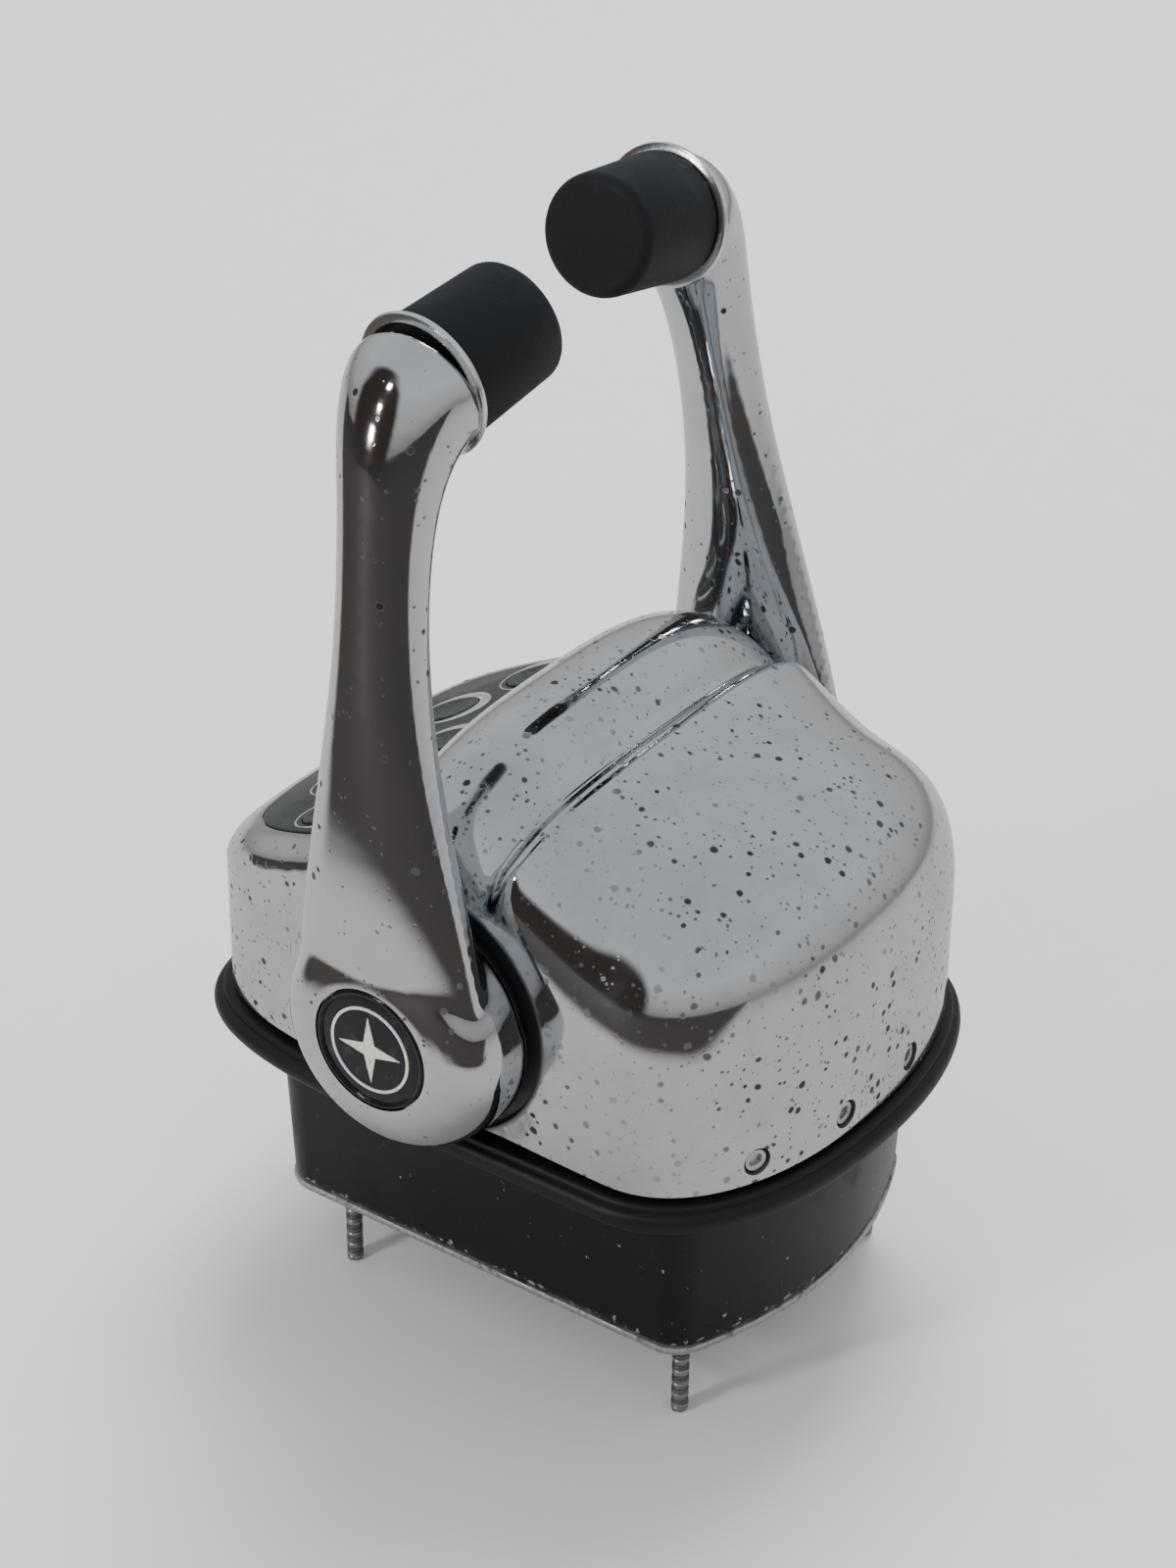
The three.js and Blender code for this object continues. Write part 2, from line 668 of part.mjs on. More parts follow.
// A spur gear about +X, a tooth centred on +Y turned by phase
function gear(teeth, from, to, bore, phase) {
  const pitch = (MODULE * teeth) / 2;
  const root = pitch - 1.35;
  const tip = pitch + 0.75;
  const step = (2 * Math.PI) / teeth;
  const points = [];
  for (let i = 0; i < teeth; i += 1) {
    const middle = i * step + phase;
    for (const [radius, part] of [[root, -0.27], [tip, -0.11], [tip, 0.11], [root, 0.27]]) {
      const angle = middle + part * step;
      points.push(new THREE.Vector2(radius * Math.cos(angle), radius * Math.sin(angle)));
    }
  }
  const shape = new THREE.Shape(points);
  const hole = new THREE.Path();
  hole.absarc(0, 0, bore, 0, 2 * Math.PI, true);
  shape.holes.push(hole);
  const geometry = new THREE.ExtrudeGeometry(shape,
    { depth: to - from, bevelEnabled: false, curveSegments: 6 });
  geometry.applyMatrix4(new THREE.Matrix4().makeBasis(new THREE.Vector3(0, 1, 0),
    new THREE.Vector3(0, 0, 1), new THREE.Vector3(1, 0, 0)));
  geometry.translate(from, 0, 0);
  return plain(geometry);
}

function detentDisc(tilt) {
  const notch = disc(2.6, 20, 35, 'x', 4);
  notch.translate(0, 0, DETENT_RADIUS + 1.2);
  notch.rotateX(-tilt);
  const rim = ring(SHAFT_RADIUS + GAP, DETENT_RADIUS, DETENT_X - DETENT_HALF,
    DETENT_X + DETENT_HALF, 'x', 40);
  return cut(rim, [notch]);
}

function sensorPinion() {
  const wheel = gear(PINION_TEETH, ...GEAR_X, 1.5, 0);
  return join([wheel, disc(1.8, GEAR_X[0] - 0.5, 24.2, 'x', 16)]);
}

function detentPlunger() {
  const collar = PLUNGER_RADIUS + 1.7;
  return turned([[0, DETENT_RADIUS + GAP], [1.4, 15.3], [PLUNGER_RADIUS, 17], [collar, 17],
    [collar, 19], [PLUNGER_RADIUS, 19], [PLUNGER_RADIUS, 38], [0, 38]], 'z', 12)
    .translate(DETENT_X, 0, 0);
}

function detentSpring() {
  const [low, high] = SPRING_Z;
  const count = SPRING_TURNS * 8;
  const coil = new THREE.CatmullRomCurve3(Array.from({ length: count + 1 }, (_, i) => {
    const angle = (i * Math.PI) / 4;
    const z = low + ((high - low) * i) / count;
    return new THREE.Vector3(SPRING_RADIUS * Math.cos(angle), SPRING_RADIUS * Math.sin(angle), z);
  }));
  const wire = new THREE.Shape();
  wire.absarc(0, 0, 0.5, 0, 2 * Math.PI, false);
  const spring = new THREE.ExtrudeGeometry(wire,
    { steps: SPRING_TURNS * 10, extrudePath: coil, curveSegments: 3, bevelEnabled: false });
  return plain(spring).translate(DETENT_X, 0, 0);
}

function sensorBody() {
  return disc(6.8, 24.5, 35.7, 'x', 28);
}

function shaftBush() {
  return ring(SHAFT_RADIUS + GAP, 9, 50, 60.2, 'x', 24);
}

const SIDES = [['starboard', 1, TILT_STARBOARD], ['port', -1, TILT_PORT]];

for (const [name, side, degrees] of SIDES) {
  const tilt = THREE.MathUtils.degToRad(degrees);
  const handed = (geometry) => (side > 0 ? geometry : mirrorX(geometry));
  const lever = new THREE.Group();
  lever.position.set(0, PIVOT_Y, PIVOT_Z);
  lever.rotation.x = tilt;
  root.add(lever);
  place(lever, `lever_arm_${name}`, handed(leverArm()), CHROME);
  place(lever, `grip_${name}`, handed(grip()), GRIP);
  place(lever, `hub_badge_${name}`, handed(badge()), BADGE);
  place(lever, `hub_bolt_${name}`, handed(hubBolt()), STEEL);
  place(lever, `lever_shaft_${name}`, handed(shaft()), STEEL);
  place(lever, `drive_gear_${name}`,
    handed(gear(GEAR_TEETH, ...GEAR_X, SHAFT_RADIUS + GAP, -tilt)), BRASS);
  place(lever, `detent_disc_${name}`, handed(detentDisc(tilt)), STEEL);

  const fixed = new THREE.Group();
  fixed.position.set(0, PIVOT_Y, PIVOT_Z);
  root.add(fixed);
  place(fixed, `shaft_bush_${name}`, handed(shaftBush()), BRASS);
  place(fixed, `hub_spacer_${name}`,
    handed(ring(SHAFT_RADIUS + GAP, 26, 60.6, 62.4, 'x', 32)), PAINT);
  place(fixed, `sensor_body_${name}`, handed(sensorBody()).translate(0, SENSOR_Y, 0), PAINT);
  place(fixed, `sensor_pinion_${name}`, handed(sensorPinion()).translate(0, SENSOR_Y, 0), BRASS);
  place(fixed, `detent_plunger_${name}`, handed(detentPlunger()), STEEL);
  place(fixed, `detent_spring_${name}`, handed(detentSpring()), STEEL);
}

export default root;
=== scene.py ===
# %% [markdown]
# Engine control head with two levers. On the real object a chromed casting carries the levers,
# a rubber gasket seals it to the console, and a painted case hangs below the deck.
# The solids already exist in the frame, so this script gives them finer surfaces and finishes.
# Every piece is made in millimetres by its own formula and turned into metres once, in one
# helper, because a maker's drawing of such a casting is in millimetres too.

import json
import math

import bmesh
import bpy
import numpy as np
from mathutils import Matrix, Vector


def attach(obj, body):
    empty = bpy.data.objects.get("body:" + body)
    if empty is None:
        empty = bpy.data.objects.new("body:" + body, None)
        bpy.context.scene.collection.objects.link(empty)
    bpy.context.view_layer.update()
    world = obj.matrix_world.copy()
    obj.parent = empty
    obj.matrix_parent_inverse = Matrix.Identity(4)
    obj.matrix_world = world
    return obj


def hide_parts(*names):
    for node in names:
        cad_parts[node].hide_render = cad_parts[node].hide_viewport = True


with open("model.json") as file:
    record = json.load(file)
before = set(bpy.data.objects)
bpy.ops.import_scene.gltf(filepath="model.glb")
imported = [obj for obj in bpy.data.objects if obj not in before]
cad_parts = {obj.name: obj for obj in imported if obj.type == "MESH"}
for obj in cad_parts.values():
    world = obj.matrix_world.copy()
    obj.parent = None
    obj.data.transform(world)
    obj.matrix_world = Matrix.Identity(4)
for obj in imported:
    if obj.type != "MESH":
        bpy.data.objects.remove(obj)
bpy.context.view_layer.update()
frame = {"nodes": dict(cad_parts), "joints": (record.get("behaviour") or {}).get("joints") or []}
MM = 0.001
joints = {joint["name"]: joint for joint in frame["joints"]}
PIVOT = Vector(joints["lever_starboard_swing"]["pos_m"]) / MM
print("nodes", len(frame["nodes"]), "pivot in mm", tuple(round(v, 1) for v in PIVOT))

# %% [markdown]
# The view looks down on the starboard side and the domed end from a little under a metre, with
# a long lens. A direction, a distance and a slight roll are easier to read and to change than a
# matrix, so the camera is placed by those three and then looks back at its target. The lamps
# are placed later by the same kind of direction.

# %% Camera
AZIMUTH = math.radians(125.14)
ELEVATION = math.radians(31.15)
ROLL = math.radians(0.62)
DISTANCE = 0.8547
TARGET = Vector((0.0, -0.00215, 0.1319))
SENSOR_HEIGHT, FOCAL_LENGTH = 24, 55.944


def direction(azimuth, elevation):
    return Vector((math.sin(azimuth) * math.cos(elevation),
                   -math.cos(azimuth) * math.cos(elevation),
                   math.sin(elevation)))


outward = direction(AZIMUTH, ELEVATION)
camera_data = bpy.data.cameras.new("camera")
camera_data.sensor_fit = "VERTICAL"
camera_data.sensor_height = SENSOR_HEIGHT
camera_data.lens = FOCAL_LENGTH
camera_data.clip_start = 0.02
camera = bpy.data.objects.new("camera", camera_data)
bpy.context.scene.collection.objects.link(camera)
turn = outward.to_track_quat("Z", "Y") @ Matrix.Rotation(ROLL, 3, "Z").to_quaternion()
camera.matrix_world = Matrix.LocRotScale(TARGET + outward * DISTANCE, turn, None)
bpy.context.scene.camera = camera
print("camera at", tuple(round(v, 3) for v in camera.matrix_world.translation))

# %% [markdown]
# Mesh helpers. A casting or a turned part is a closed skin through rings of points, so three
# helpers cover most pieces: one makes an object, one joins rings into a closed skin, and one
# turns a profile about an axis. Modifiers finish some of them, and `bake` applies those.
# `report` prints the faces of a piece and its open edges, which a closed skin doesn't have.

# %% Mesh helpers
def make_object(name, points, faces, crease=35):
    mesh = bpy.data.meshes.new(name)
    scaled = [tuple(float(v) * MM for v in point) for point in points]
    mesh.from_pydata(scaled, [], [tuple(int(i) for i in face) for face in faces])
    piece = bpy.data.objects.new(name, mesh)
    bpy.context.scene.collection.objects.link(piece)
    tidy_mesh(piece, crease)
    return piece


def tidy_mesh(piece, crease=35, recalculate=True):
    shape = bmesh.new()
    shape.from_mesh(piece.data)
    bmesh.ops.remove_doubles(shape, verts=shape.verts, dist=1e-6)
    bmesh.ops.dissolve_degenerate(shape, edges=shape.edges, dist=1e-7)
    if recalculate:
        bmesh.ops.recalc_face_normals(shape, faces=shape.faces)
    shape.to_mesh(piece.data)
    shape.free()
    piece.data.shade_smooth()
    piece.data.set_sharp_from_angle(angle=math.radians(crease))


def bake(piece):
    """Applies the modifiers and leaves a plain mesh."""
    graph = bpy.context.evaluated_depsgraph_get()
    mesh = bpy.data.meshes.new_from_object(piece.evaluated_get(graph))
    piece.modifiers.clear()
    piece.data = mesh
    return piece


def skin(rings, closed_ends=True):
    """Faces through rings of points, every ring the same length."""
    count = len(rings[0])
    points = [point for ring in rings for point in ring]
    faces = []
    for j in range(len(rings) - 1):
        for i in range(count):
            k = (i + 1) % count
            faces.append((j * count + i, j * count + k, (j + 1) * count + k, (j + 1) * count + i))
    if closed_ends:
        faces.append(tuple(reversed(range(count))))
        faces.append(tuple(range(len(points) - count, len(points))))
    return points, faces


def turned(name, profile, axis="x", segments=96, crease=35):
    """Turns (radius, distance along the axis) points about an axis through the origin."""
    rings = []
    for radius, along in profile:
        ring = []
        for i in range(segments):
            angle = 2 * math.pi * i / segments
            a, b = radius * math.cos(angle), radius * math.sin(angle)
            ring.append((along, a, b) if axis == "x" else (a, b, along))
        rings.append(ring)
    points, faces = skin(rings, closed_ends=False)
    return make_object(name, points, faces, crease)


def carve(piece, tools, crease=35):
    """Cuts the tools out of a piece and removes them."""
    for tool in tools:
        cut = piece.modifiers.new("cut", "BOOLEAN")
        cut.operation = "DIFFERENCE"
        cut.solver = "EXACT"
        cut.material_mode = "TRANSFER"
        cut.object = tool
    bake(piece)
    for tool in tools:
        bpy.data.objects.remove(tool)
    tidy_mesh(piece, crease, recalculate=False)
    return piece


def move(piece, matrix):
    """Moves a piece's points, so that its object stays at the origin."""
    piece.data.transform(matrix)
    if matrix.to_3x3().determinant() < 0:
        piece.data.flip_normals()
    return piece


def copy_of(piece, name):
    twin = bpy.data.objects.new(name, piece.data.copy())
    bpy.context.scene.collection.objects.link(twin)
    return twin


def merge(piece, extra):
    """Adds another piece's mesh to a piece, and removes the other."""
    joined = bmesh.new()
    joined.from_mesh(piece.data)
    joined.from_mesh(extra.data)
    joined.to_mesh(piece.data)
    joined.free()
    bpy.data.objects.remove(extra)


def finish(piece, material):
    piece.data.materials.clear()
    piece.data.materials.append(material)


def report(piece):
    mesh = piece.data
    index = np.zeros(len(mesh.loops), int)
    mesh.loops.foreach_get("edge_index", index)
    open_edges = int(np.sum(np.bincount(index, minlength=len(mesh.edges)) != 2))
    print(piece.name, len(mesh.polygons), "faces,", open_edges, "open edges")


# %% [markdown]
# Node helpers. Shader and geometry maths read best as plain formulas, so one small class wraps
# a socket and turns +, -, * and / into Math nodes. Any other node comes from `node`, which sets
# the node's own settings first and then fills its sockets with values or links.

# %% Node helpers
class Value:
    def __init__(self, tree, socket):
        self.tree = tree
        self.socket = socket

    def math(self, operation, *others):
        inputs = dict(enumerate([self, *others]))
        return node(self.tree, "ShaderNodeMath", {"operation": operation}, inputs)

    def __add__(self, other):
        return self.math("ADD", other)

    __radd__ = __add__

    def __sub__(self, other):
        return self.math("SUBTRACT", other)

    def __rsub__(self, other):
        return node(self.tree, "ShaderNodeMath", {"operation": "SUBTRACT"}, {0: other, 1: self})

    def __mul__(self, other):
        return self.math("MULTIPLY", other)

    __rmul__ = __mul__

    def __truediv__(self, other):
        return self.math("DIVIDE", other)

    def out(self, name):
        return Value(self.tree, self.socket.node.outputs[name])


def plug(tree, socket, value):
    if isinstance(value, Value):
        tree.links.new(value.socket, socket)
    else:
        socket.default_value = value


def node(tree, kind, settings=None, inputs=None, output=0):
    made = tree.nodes.new(kind)
    for name, value in (settings or {}).items():
        if name == "stops":
            ramp = made.color_ramp
            while len(ramp.elements) < len(value):
                ramp.elements.new(0.5)
            for element, (position, colour) in zip(ramp.elements, value):
                element.position = position
                element.color = colour
        else:
            setattr(made, name, value)
    for name, value in (inputs or {}).items():
        plug(tree, made.inputs[name], value)
    return Value(tree, made.outputs[output]) if len(made.outputs) else None


def new_material(name):
    """A material with an empty tree, and the object coordinates that its patterns use."""
    made = bpy.data.materials.new(name)
    made.use_nodes = True
    made.node_tree.nodes.clear()
    return made, made.node_tree, object_points(made.node_tree)


def surface(tree, fixed, varied, bump=None):
    """The Principled shader: fixed numbers on its sockets, and links for what varies."""
    shader = node(tree, "ShaderNodeBsdfPrincipled", {}, {**fixed, **varied})
    if bump:
        height, strength, distance = bump
        normal = node(tree, "ShaderNodeBump", {}, {"Height": height, "Strength": strength,
                                                   "Distance": distance})
        tree.links.new(normal.socket, shader.socket.node.inputs["Normal"])
    node(tree, "ShaderNodeOutputMaterial", {}, {"Surface": shader})


def object_points(tree, scale=(1, 1, 1), rotation=(0, 0, 0)):
    place = node(tree, "ShaderNodeTexCoord", output="Object")
    return node(tree, "ShaderNodeMapping", {}, {"Vector": place, "Scale": scale,
                                                "Rotation": rotation})


def split(tree, vector):
    """The X, Y and Z of a vector. The result itself reads as X."""
    return node(tree, "ShaderNodeSeparateXYZ", {}, {"Vector": vector})


def noise(tree, points, scale, detail=3.0, roughness=0.5):
    return node(tree, "ShaderNodeTexNoise", {}, {"Vector": points, "Scale": scale,
                                                 "Detail": detail, "Roughness": roughness})


def step_up(value, low, high):
    """0 below low, 1 above high, with a soft rise between."""
    return node(value.tree, "ShaderNodeMapRange", {"interpolation_type": "SMOOTHSTEP"},
                {"Value": value, "From Min": low, "From Max": high})


def blend_colours(tree, factor, first, second):
    made = node(tree, "ShaderNodeMix", {"data_type": "RGBA"}, {0: factor}, output=2)
    for index, colour in ((6, first), (7, second)):
        plug(tree, made.socket.node.inputs[index], colour)
    return made


def rgb(red, green, blue):
    return (red, green, blue, 1.0)


# %% [markdown]
# Polished chrome. The plating itself is a near mirror, so most of its look comes from what it
# reflects, and age shows as small round pits, short scratches and a faint haze. Pits could be
# modelled, but thousands of holes a fraction of a millimetre wide would cost a huge mesh, so
# Voronoi patterns mark one spot in some of their small cells instead. The same pattern,
# stretched along two directions, gives the scratches. Broad noise gathers the fine marks in
# patches, as on real plating, and dark wear collects in the pockets round the hubs.

# %% Chrome
def spots(tree, points, scale, size, amount):
    """Dark specks: one in some of the cells, each of its own size."""
    cells = node(tree, "ShaderNodeTexVoronoi", {}, {"Vector": points, "Scale": scale})
    parts = node(tree, "ShaderNodeSeparateColor", {}, {"Color": cells.out("Color")})
    chosen = step_up(parts.out("Red"), 1 - amount, 1 - amount + 0.02)
    radius = size * (0.35 + parts.out("Green"))
    return chosen * (1 - step_up(cells / radius, 0.6, 1.0))


def chrome_material(name, pits, haze, grime=None):
    made, tree, here = new_material(name)
    warp = noise(tree, here, 300, 2)
    bent = node(tree, "ShaderNodeVectorMath", {"operation": "MULTIPLY_ADD"},
                {0: warp.out("Color"), 1: (0.0012, 0.0012, 0.0012), 2: here})
    patches = step_up(noise(tree, here, 26, 2), 0.34, 0.56)
    round_pits = spots(tree, bent, 280, 0.26, pits)
    fine_pits = spots(tree, bent, 560, 0.27, pits * 0.8)
    marks = round_pits
    for angle in (0.5, 2.1):
        stretched = object_points(tree, (420, 420, 60), (0.7, angle, angle))
        scratch = spots(tree, stretched, 1.0, 0.09, pits * 0.32)
        marks = marks.math("MAXIMUM", scratch * 0.7)
    marks = marks.math("MAXIMUM", fine_pits * 0.8) * (0.3 + 0.7 * patches)
    cloud = noise(tree, here, 55, 5, 0.65)
    film = haze * step_up(cloud, 0.4, 0.75)
    dirt = marks if grime is None else marks.math("MAXIMUM", grime(tree, here, cloud))
    clean = blend_colours(tree, film, rgb(0.56, 0.575, 0.59), rgb(0.42, 0.445, 0.465))
    colour = blend_colours(tree, dirt, clean, rgb(0.02, 0.023, 0.024))
    ripple = noise(tree, here, 38, 2)
    surface(tree, {"IOR": 2.4},
            {"Base Color": colour, "Metallic": 1 - 0.25 * dirt,
             "Roughness": 0.055 + 0.16 * film + 0.45 * dirt},
            (ripple * 0.5 - dirt * 0.12, 0.22, 0.0006))
    return made


def pocket_grime(tree, here, cloud):
    """Dark wear round the two hubs, on the walls and rims of their pockets."""
    axes = split(tree, here)
    side = axes.math("ABSOLUTE")
    ahead = axes.out("Y") - PIVOT.y * MM
    above = axes.out("Z") - PIVOT.z * MM
    reach = (ahead * ahead + above * above).math("SQRT")
    near = (1 - step_up(reach, 0.0317, 0.0330)) * step_up(side, 0.0560, 0.0585)
    edge = (1 - step_up(reach, 0.0325, 0.040)) * step_up(side, 0.0585, 0.0605) * 0.6
    worn = step_up(cloud + 0.35 * near, 0.45, 0.72)
    return (near * 0.9).math("MAXIMUM", edge * worn)


pocket_chrome = chrome_material("pocket_chrome", 0.9, 1.0, pocket_grime)
housing_chrome = chrome_material("housing_chrome", 0.85, 0.55, pocket_grime)
lever_chrome = chrome_material("lever_chrome", 0.22, 0.35)


# %% [markdown]
# The dark finishes. Rubber, satin paint, moulded grip and keypad film are all near black, and
# what tells them apart is gloss, grain and wear: rubber is dull with pale scuffs, paint is
# smooth with chips to bare metal along its lower edge, and the grip has a fine leather grain.

# %% Rubber, paint, grip and badge
def rubber_material():
    made, tree, here = new_material("gasket_rubber")
    grain = noise(tree, here, 900, 3)
    smear = step_up(noise(tree, here, 45, 4, 0.6), 0.5, 0.72)
    dust = smear * step_up(grain, 0.45, 0.7)
    colour = blend_colours(tree, dust * 0.5, rgb(0.004, 0.006, 0.007), rgb(0.04, 0.048, 0.05))
    surface(tree, {"Specular IOR Level": 0.3},
            {"Base Color": colour, "Roughness": 0.42 + 0.25 * dust + 0.1 * grain},
            (grain, 0.25, 0.0003))
    return made


def paint_material():
    made, tree, here = new_material("case_paint")
    axes = split(tree, here)
    low_edge = 1 - step_up(axes.out("Z"), 0.0247, 0.0275)
    ragged = noise(tree, here, 420, 5, 0.65)
    chips = step_up(ragged + 0.13 * low_edge, 0.68, 0.71)
    stray = spots(tree, here, 70, 0.07, 0.16) * step_up(ragged, 0.4, 0.5)
    bare = chips.math("MAXIMUM", stray)
    peel = noise(tree, here, 240, 3)
    scuff = step_up(noise(tree, here, 33, 5, 0.65), 0.52, 0.7)
    dark = blend_colours(tree, scuff * 0.5, rgb(0.003, 0.005, 0.006), rgb(0.012, 0.016, 0.018))
    colour = blend_colours(tree, bare, dark, rgb(0.42, 0.44, 0.44))
    surface(tree, {"Specular IOR Level": 0.3},
            {"Base Color": colour, "Roughness": 0.32 + 0.18 * scuff + 0.2 * bare,
             "Metallic": bare * 0.8},
            (peel * 0.4 - bare, 0.25, 0.0003))
    return made


def grip_material():
    made, tree, here = new_material("grip_plastic")
    leather = node(tree, "ShaderNodeTexVoronoi", {"feature": "DISTANCE_TO_EDGE"},
                   {"Vector": here, "Scale": 1300})
    fine = noise(tree, here, 1500, 3)
    worn = step_up(noise(tree, here, 40, 4, 0.6), 0.45, 0.7)
    colour = blend_colours(tree, worn * 0.6, rgb(0.005, 0.007, 0.009), rgb(0.011, 0.015, 0.018))
    surface(tree, {"Specular IOR Level": 0.3},
            {"Base Color": colour, "Roughness": 0.56 + 0.12 * fine - 0.1 * worn},
            (step_up(leather, 0.0, 0.25) + 0.4 * fine, 0.22, 0.00025))
    return made


def badge_material():
    made, tree, here = new_material("badge_resin")
    dust = step_up(noise(tree, here, 260, 4, 0.6), 0.56, 0.72)
    colour = blend_colours(tree, dust * 0.35, rgb(0.006, 0.007, 0.008), rgb(0.09, 0.09, 0.09))
    surface(tree, {"Specular IOR Level": 0.2, "Coat Weight": 0.15, "Coat Roughness": 0.06},
            {"Base Color": colour, "Roughness": 0.16 + 0.3 * dust},
            (noise(tree, here, 90, 1), 0.05, 0.0003))
    return made


def emblem_material():
    made, tree, here = new_material("emblem_cream")
    wear = step_up(noise(tree, here, 600, 4, 0.6), 0.5, 0.75)
    colour = blend_colours(tree, wear * 0.6, rgb(0.72, 0.70, 0.62), rgb(0.36, 0.35, 0.31))
    surface(tree, {}, {"Base Color": colour, "Roughness": 0.35 + 0.2 * wear},
            (wear, 0.1, 0.0001))
    return made


gasket_rubber = rubber_material()
case_paint = paint_material()
grip_plastic = grip_material()
badge_resin = badge_material()
emblem_cream = emblem_material()


# %% [markdown]
# The bare metals. The plate's edge is stained grey with rusty blooms, the studs and screws are
# plain machined steel, and the gears and bushes inside are brass. One function with a base
# colour and a stain colour serves them all, because only those values differ.

# %% Bare metals, keypad film and circuit board
def metal_material(name, base, stain, roughness, stained, lay=(1, 1, 1)):
    made, tree, here = new_material(name)
    lines = noise(tree, object_points(tree, lay), 900, 2)
    bloom = step_up(noise(tree, here, 95, 6, 0.65), 0.62 - stained * 0.3, 0.78 - stained * 0.2)
    deep = bloom * step_up(noise(tree, here, 520, 4, 0.6), 0.45, 0.65)
    tone = blend_colours(tree, lines * 0.4, base, tuple(v * 0.7 for v in base[:3]) + (1.0,))
    colour = blend_colours(tree, deep * stained, tone, stain)
    surface(tree, {},
            {"Base Color": colour, "Metallic": 1 - 0.7 * (deep * stained),
             "Roughness": roughness + 0.25 * bloom + 0.1 * lines},
            (lines * 0.5 + deep * 0.6, 0.2, 0.0002))
    return made


def film_material():
    made, tree, here = new_material("keypad_film")
    speckle = noise(tree, here, 1600, 2)
    rub = step_up(noise(tree, here, 50, 5, 0.65), 0.45, 0.7)
    colour = blend_colours(tree, rub * 0.6, rgb(0.014, 0.019, 0.018), rgb(0.04, 0.048, 0.045))
    surface(tree, {"Specular IOR Level": 0.2},
            {"Base Color": colour, "Roughness": 0.3 + 0.25 * rub + 0.1 * speckle},
            (speckle, 0.18, 0.0002))
    return made


def key_material():
    made, tree, here = new_material("key_face")
    weave = node(tree, "ShaderNodeTexVoronoi", {}, {"Vector": here, "Scale": 1100})
    rub = step_up(noise(tree, here, 210, 4, 0.6), 0.42, 0.66)
    colour = blend_colours(tree, rub, rgb(0.008, 0.011, 0.011), rgb(0.05, 0.06, 0.058))
    surface(tree, {"Specular IOR Level": 0.25},
            {"Base Color": colour, "Roughness": 0.32 + 0.3 * rub},
            (weave, 0.5, 0.0003))
    return made


def board_material():
    made, tree, here = new_material("circuit_green")
    lanes = node(tree, "ShaderNodeTexBrick", {"offset": 0.5},
                 {"Vector": here, "Scale": 260, "Mortar Size": 0.06})
    colour = blend_colours(tree, lanes.out("Fac"), rgb(0.01, 0.10, 0.045), rgb(0.05, 0.22, 0.09))
    surface(tree, {}, {"Base Color": colour, "Roughness": 0.35 + 0.2 * noise(tree, here, 300)},
            (lanes.out("Fac"), 0.2, 0.0002))
    return made


RUST = rgb(0.10, 0.045, 0.02)
plate_steel = metal_material("bare_plate", rgb(0.50, 0.50, 0.49), rgb(0.12, 0.10, 0.09), 0.36, 0.9)
stud_steel = metal_material("stud_steel", rgb(0.30, 0.30, 0.30), RUST, 0.32, 0.35, (1, 1, 0.1))
screw_steel = metal_material("screw_steel", rgb(0.50, 0.51, 0.52), RUST, 0.24, 0.3)
inner_steel = metal_material("inner_steel", rgb(0.42, 0.43, 0.44), RUST, 0.35, 0.15)
bush_brass = metal_material("bush_brass", rgb(0.62, 0.43, 0.18), rgb(0.09, 0.07, 0.03), 0.3, 0.3)
ring_silver = metal_material("ring_silver", rgb(0.78, 0.79, 0.80), rgb(0.2, 0.2, 0.2), 0.16, 0.2)
# The dark spacer metal is also painted shade: it lines the adjuster screw holes cut in the casting.
dark_spacer_and_hole_shade = metal_material("dark_spacer_and_hole_shade", rgb(0.10, 0.11, 0.11), rgb(0.02, 0.02, 0.02), 0.5, 0.6)
keypad_film = film_material()
key_face = key_material()
circuit_green = board_material()
print("materials", len(bpy.data.materials))


# %% [markdown]
# The casting. Its plan is a superellipse, rounder at the domed end, and its top is three forms
# run together: a ridge across the pivot, a pillow-like dome ahead of it and a sloping keypad
# behind. It could be sculpted, but a formula for the height gives an even, fair surface, which
# matters most on chrome. The dome's crown is itself a superellipse, flat on top and round at
# its shoulders, so a broad rounded band runs down each side to the wall.

# %% Plan and top of the casting
HALF_WIDTH = 62.2
PLAN_Y = 46.7
DOME_LENGTH, DOME_POWER = 34.4, 2.21
KEY_LENGTH, KEY_POWER = 127.8, 4.93
SKIRT_Z = 74
WALL = 4.5
RIDGE_RADIUS, RIDGE_CENTRE, RIDGE_END_DROP = 20, 40, 24
DOME_TOP, DOME_START, DOME_SLOPE, CROWN_POWER = 51.5, 16, 0.26, 2.7
DOME_BACK, DOME_FALL = 20, 0.25
SIDE_LOW, SIDE_HIGH = 6, 42
SIDE_FRONT, SIDE_RUN = 52, 50
PANEL_LOW, PANEL_Y0, PANEL_SLOPE, PANEL_BACK = 10.5, -79, 0.42, -22
RIDGE_BLEND, PANEL_BLEND = 6, 4
EDGE_FILLET, KEY_FILLET, DOME_FILLET = 4, 3, 2


def smooth_max(a, b, k):
    """The larger of two heights, with a soft blend where they differ by less than k."""
    h = np.maximum(k - np.abs(a - b), 0) / k
    return np.maximum(a, b) + h * h * k / 4


def plan_end(y, grow=0.0):
    ahead = y > PLAN_Y
    length = np.where(ahead, DOME_LENGTH, KEY_LENGTH) + grow
    return length, np.where(ahead, DOME_POWER, KEY_POWER)


def half_width(y, grow=0.0):
    length, power = plan_end(y, grow)
    part = np.minimum(np.abs(y - PLAN_Y) / length, 1)
    return (HALF_WIDTH + grow) * (1 - part ** power) ** (1 / power)


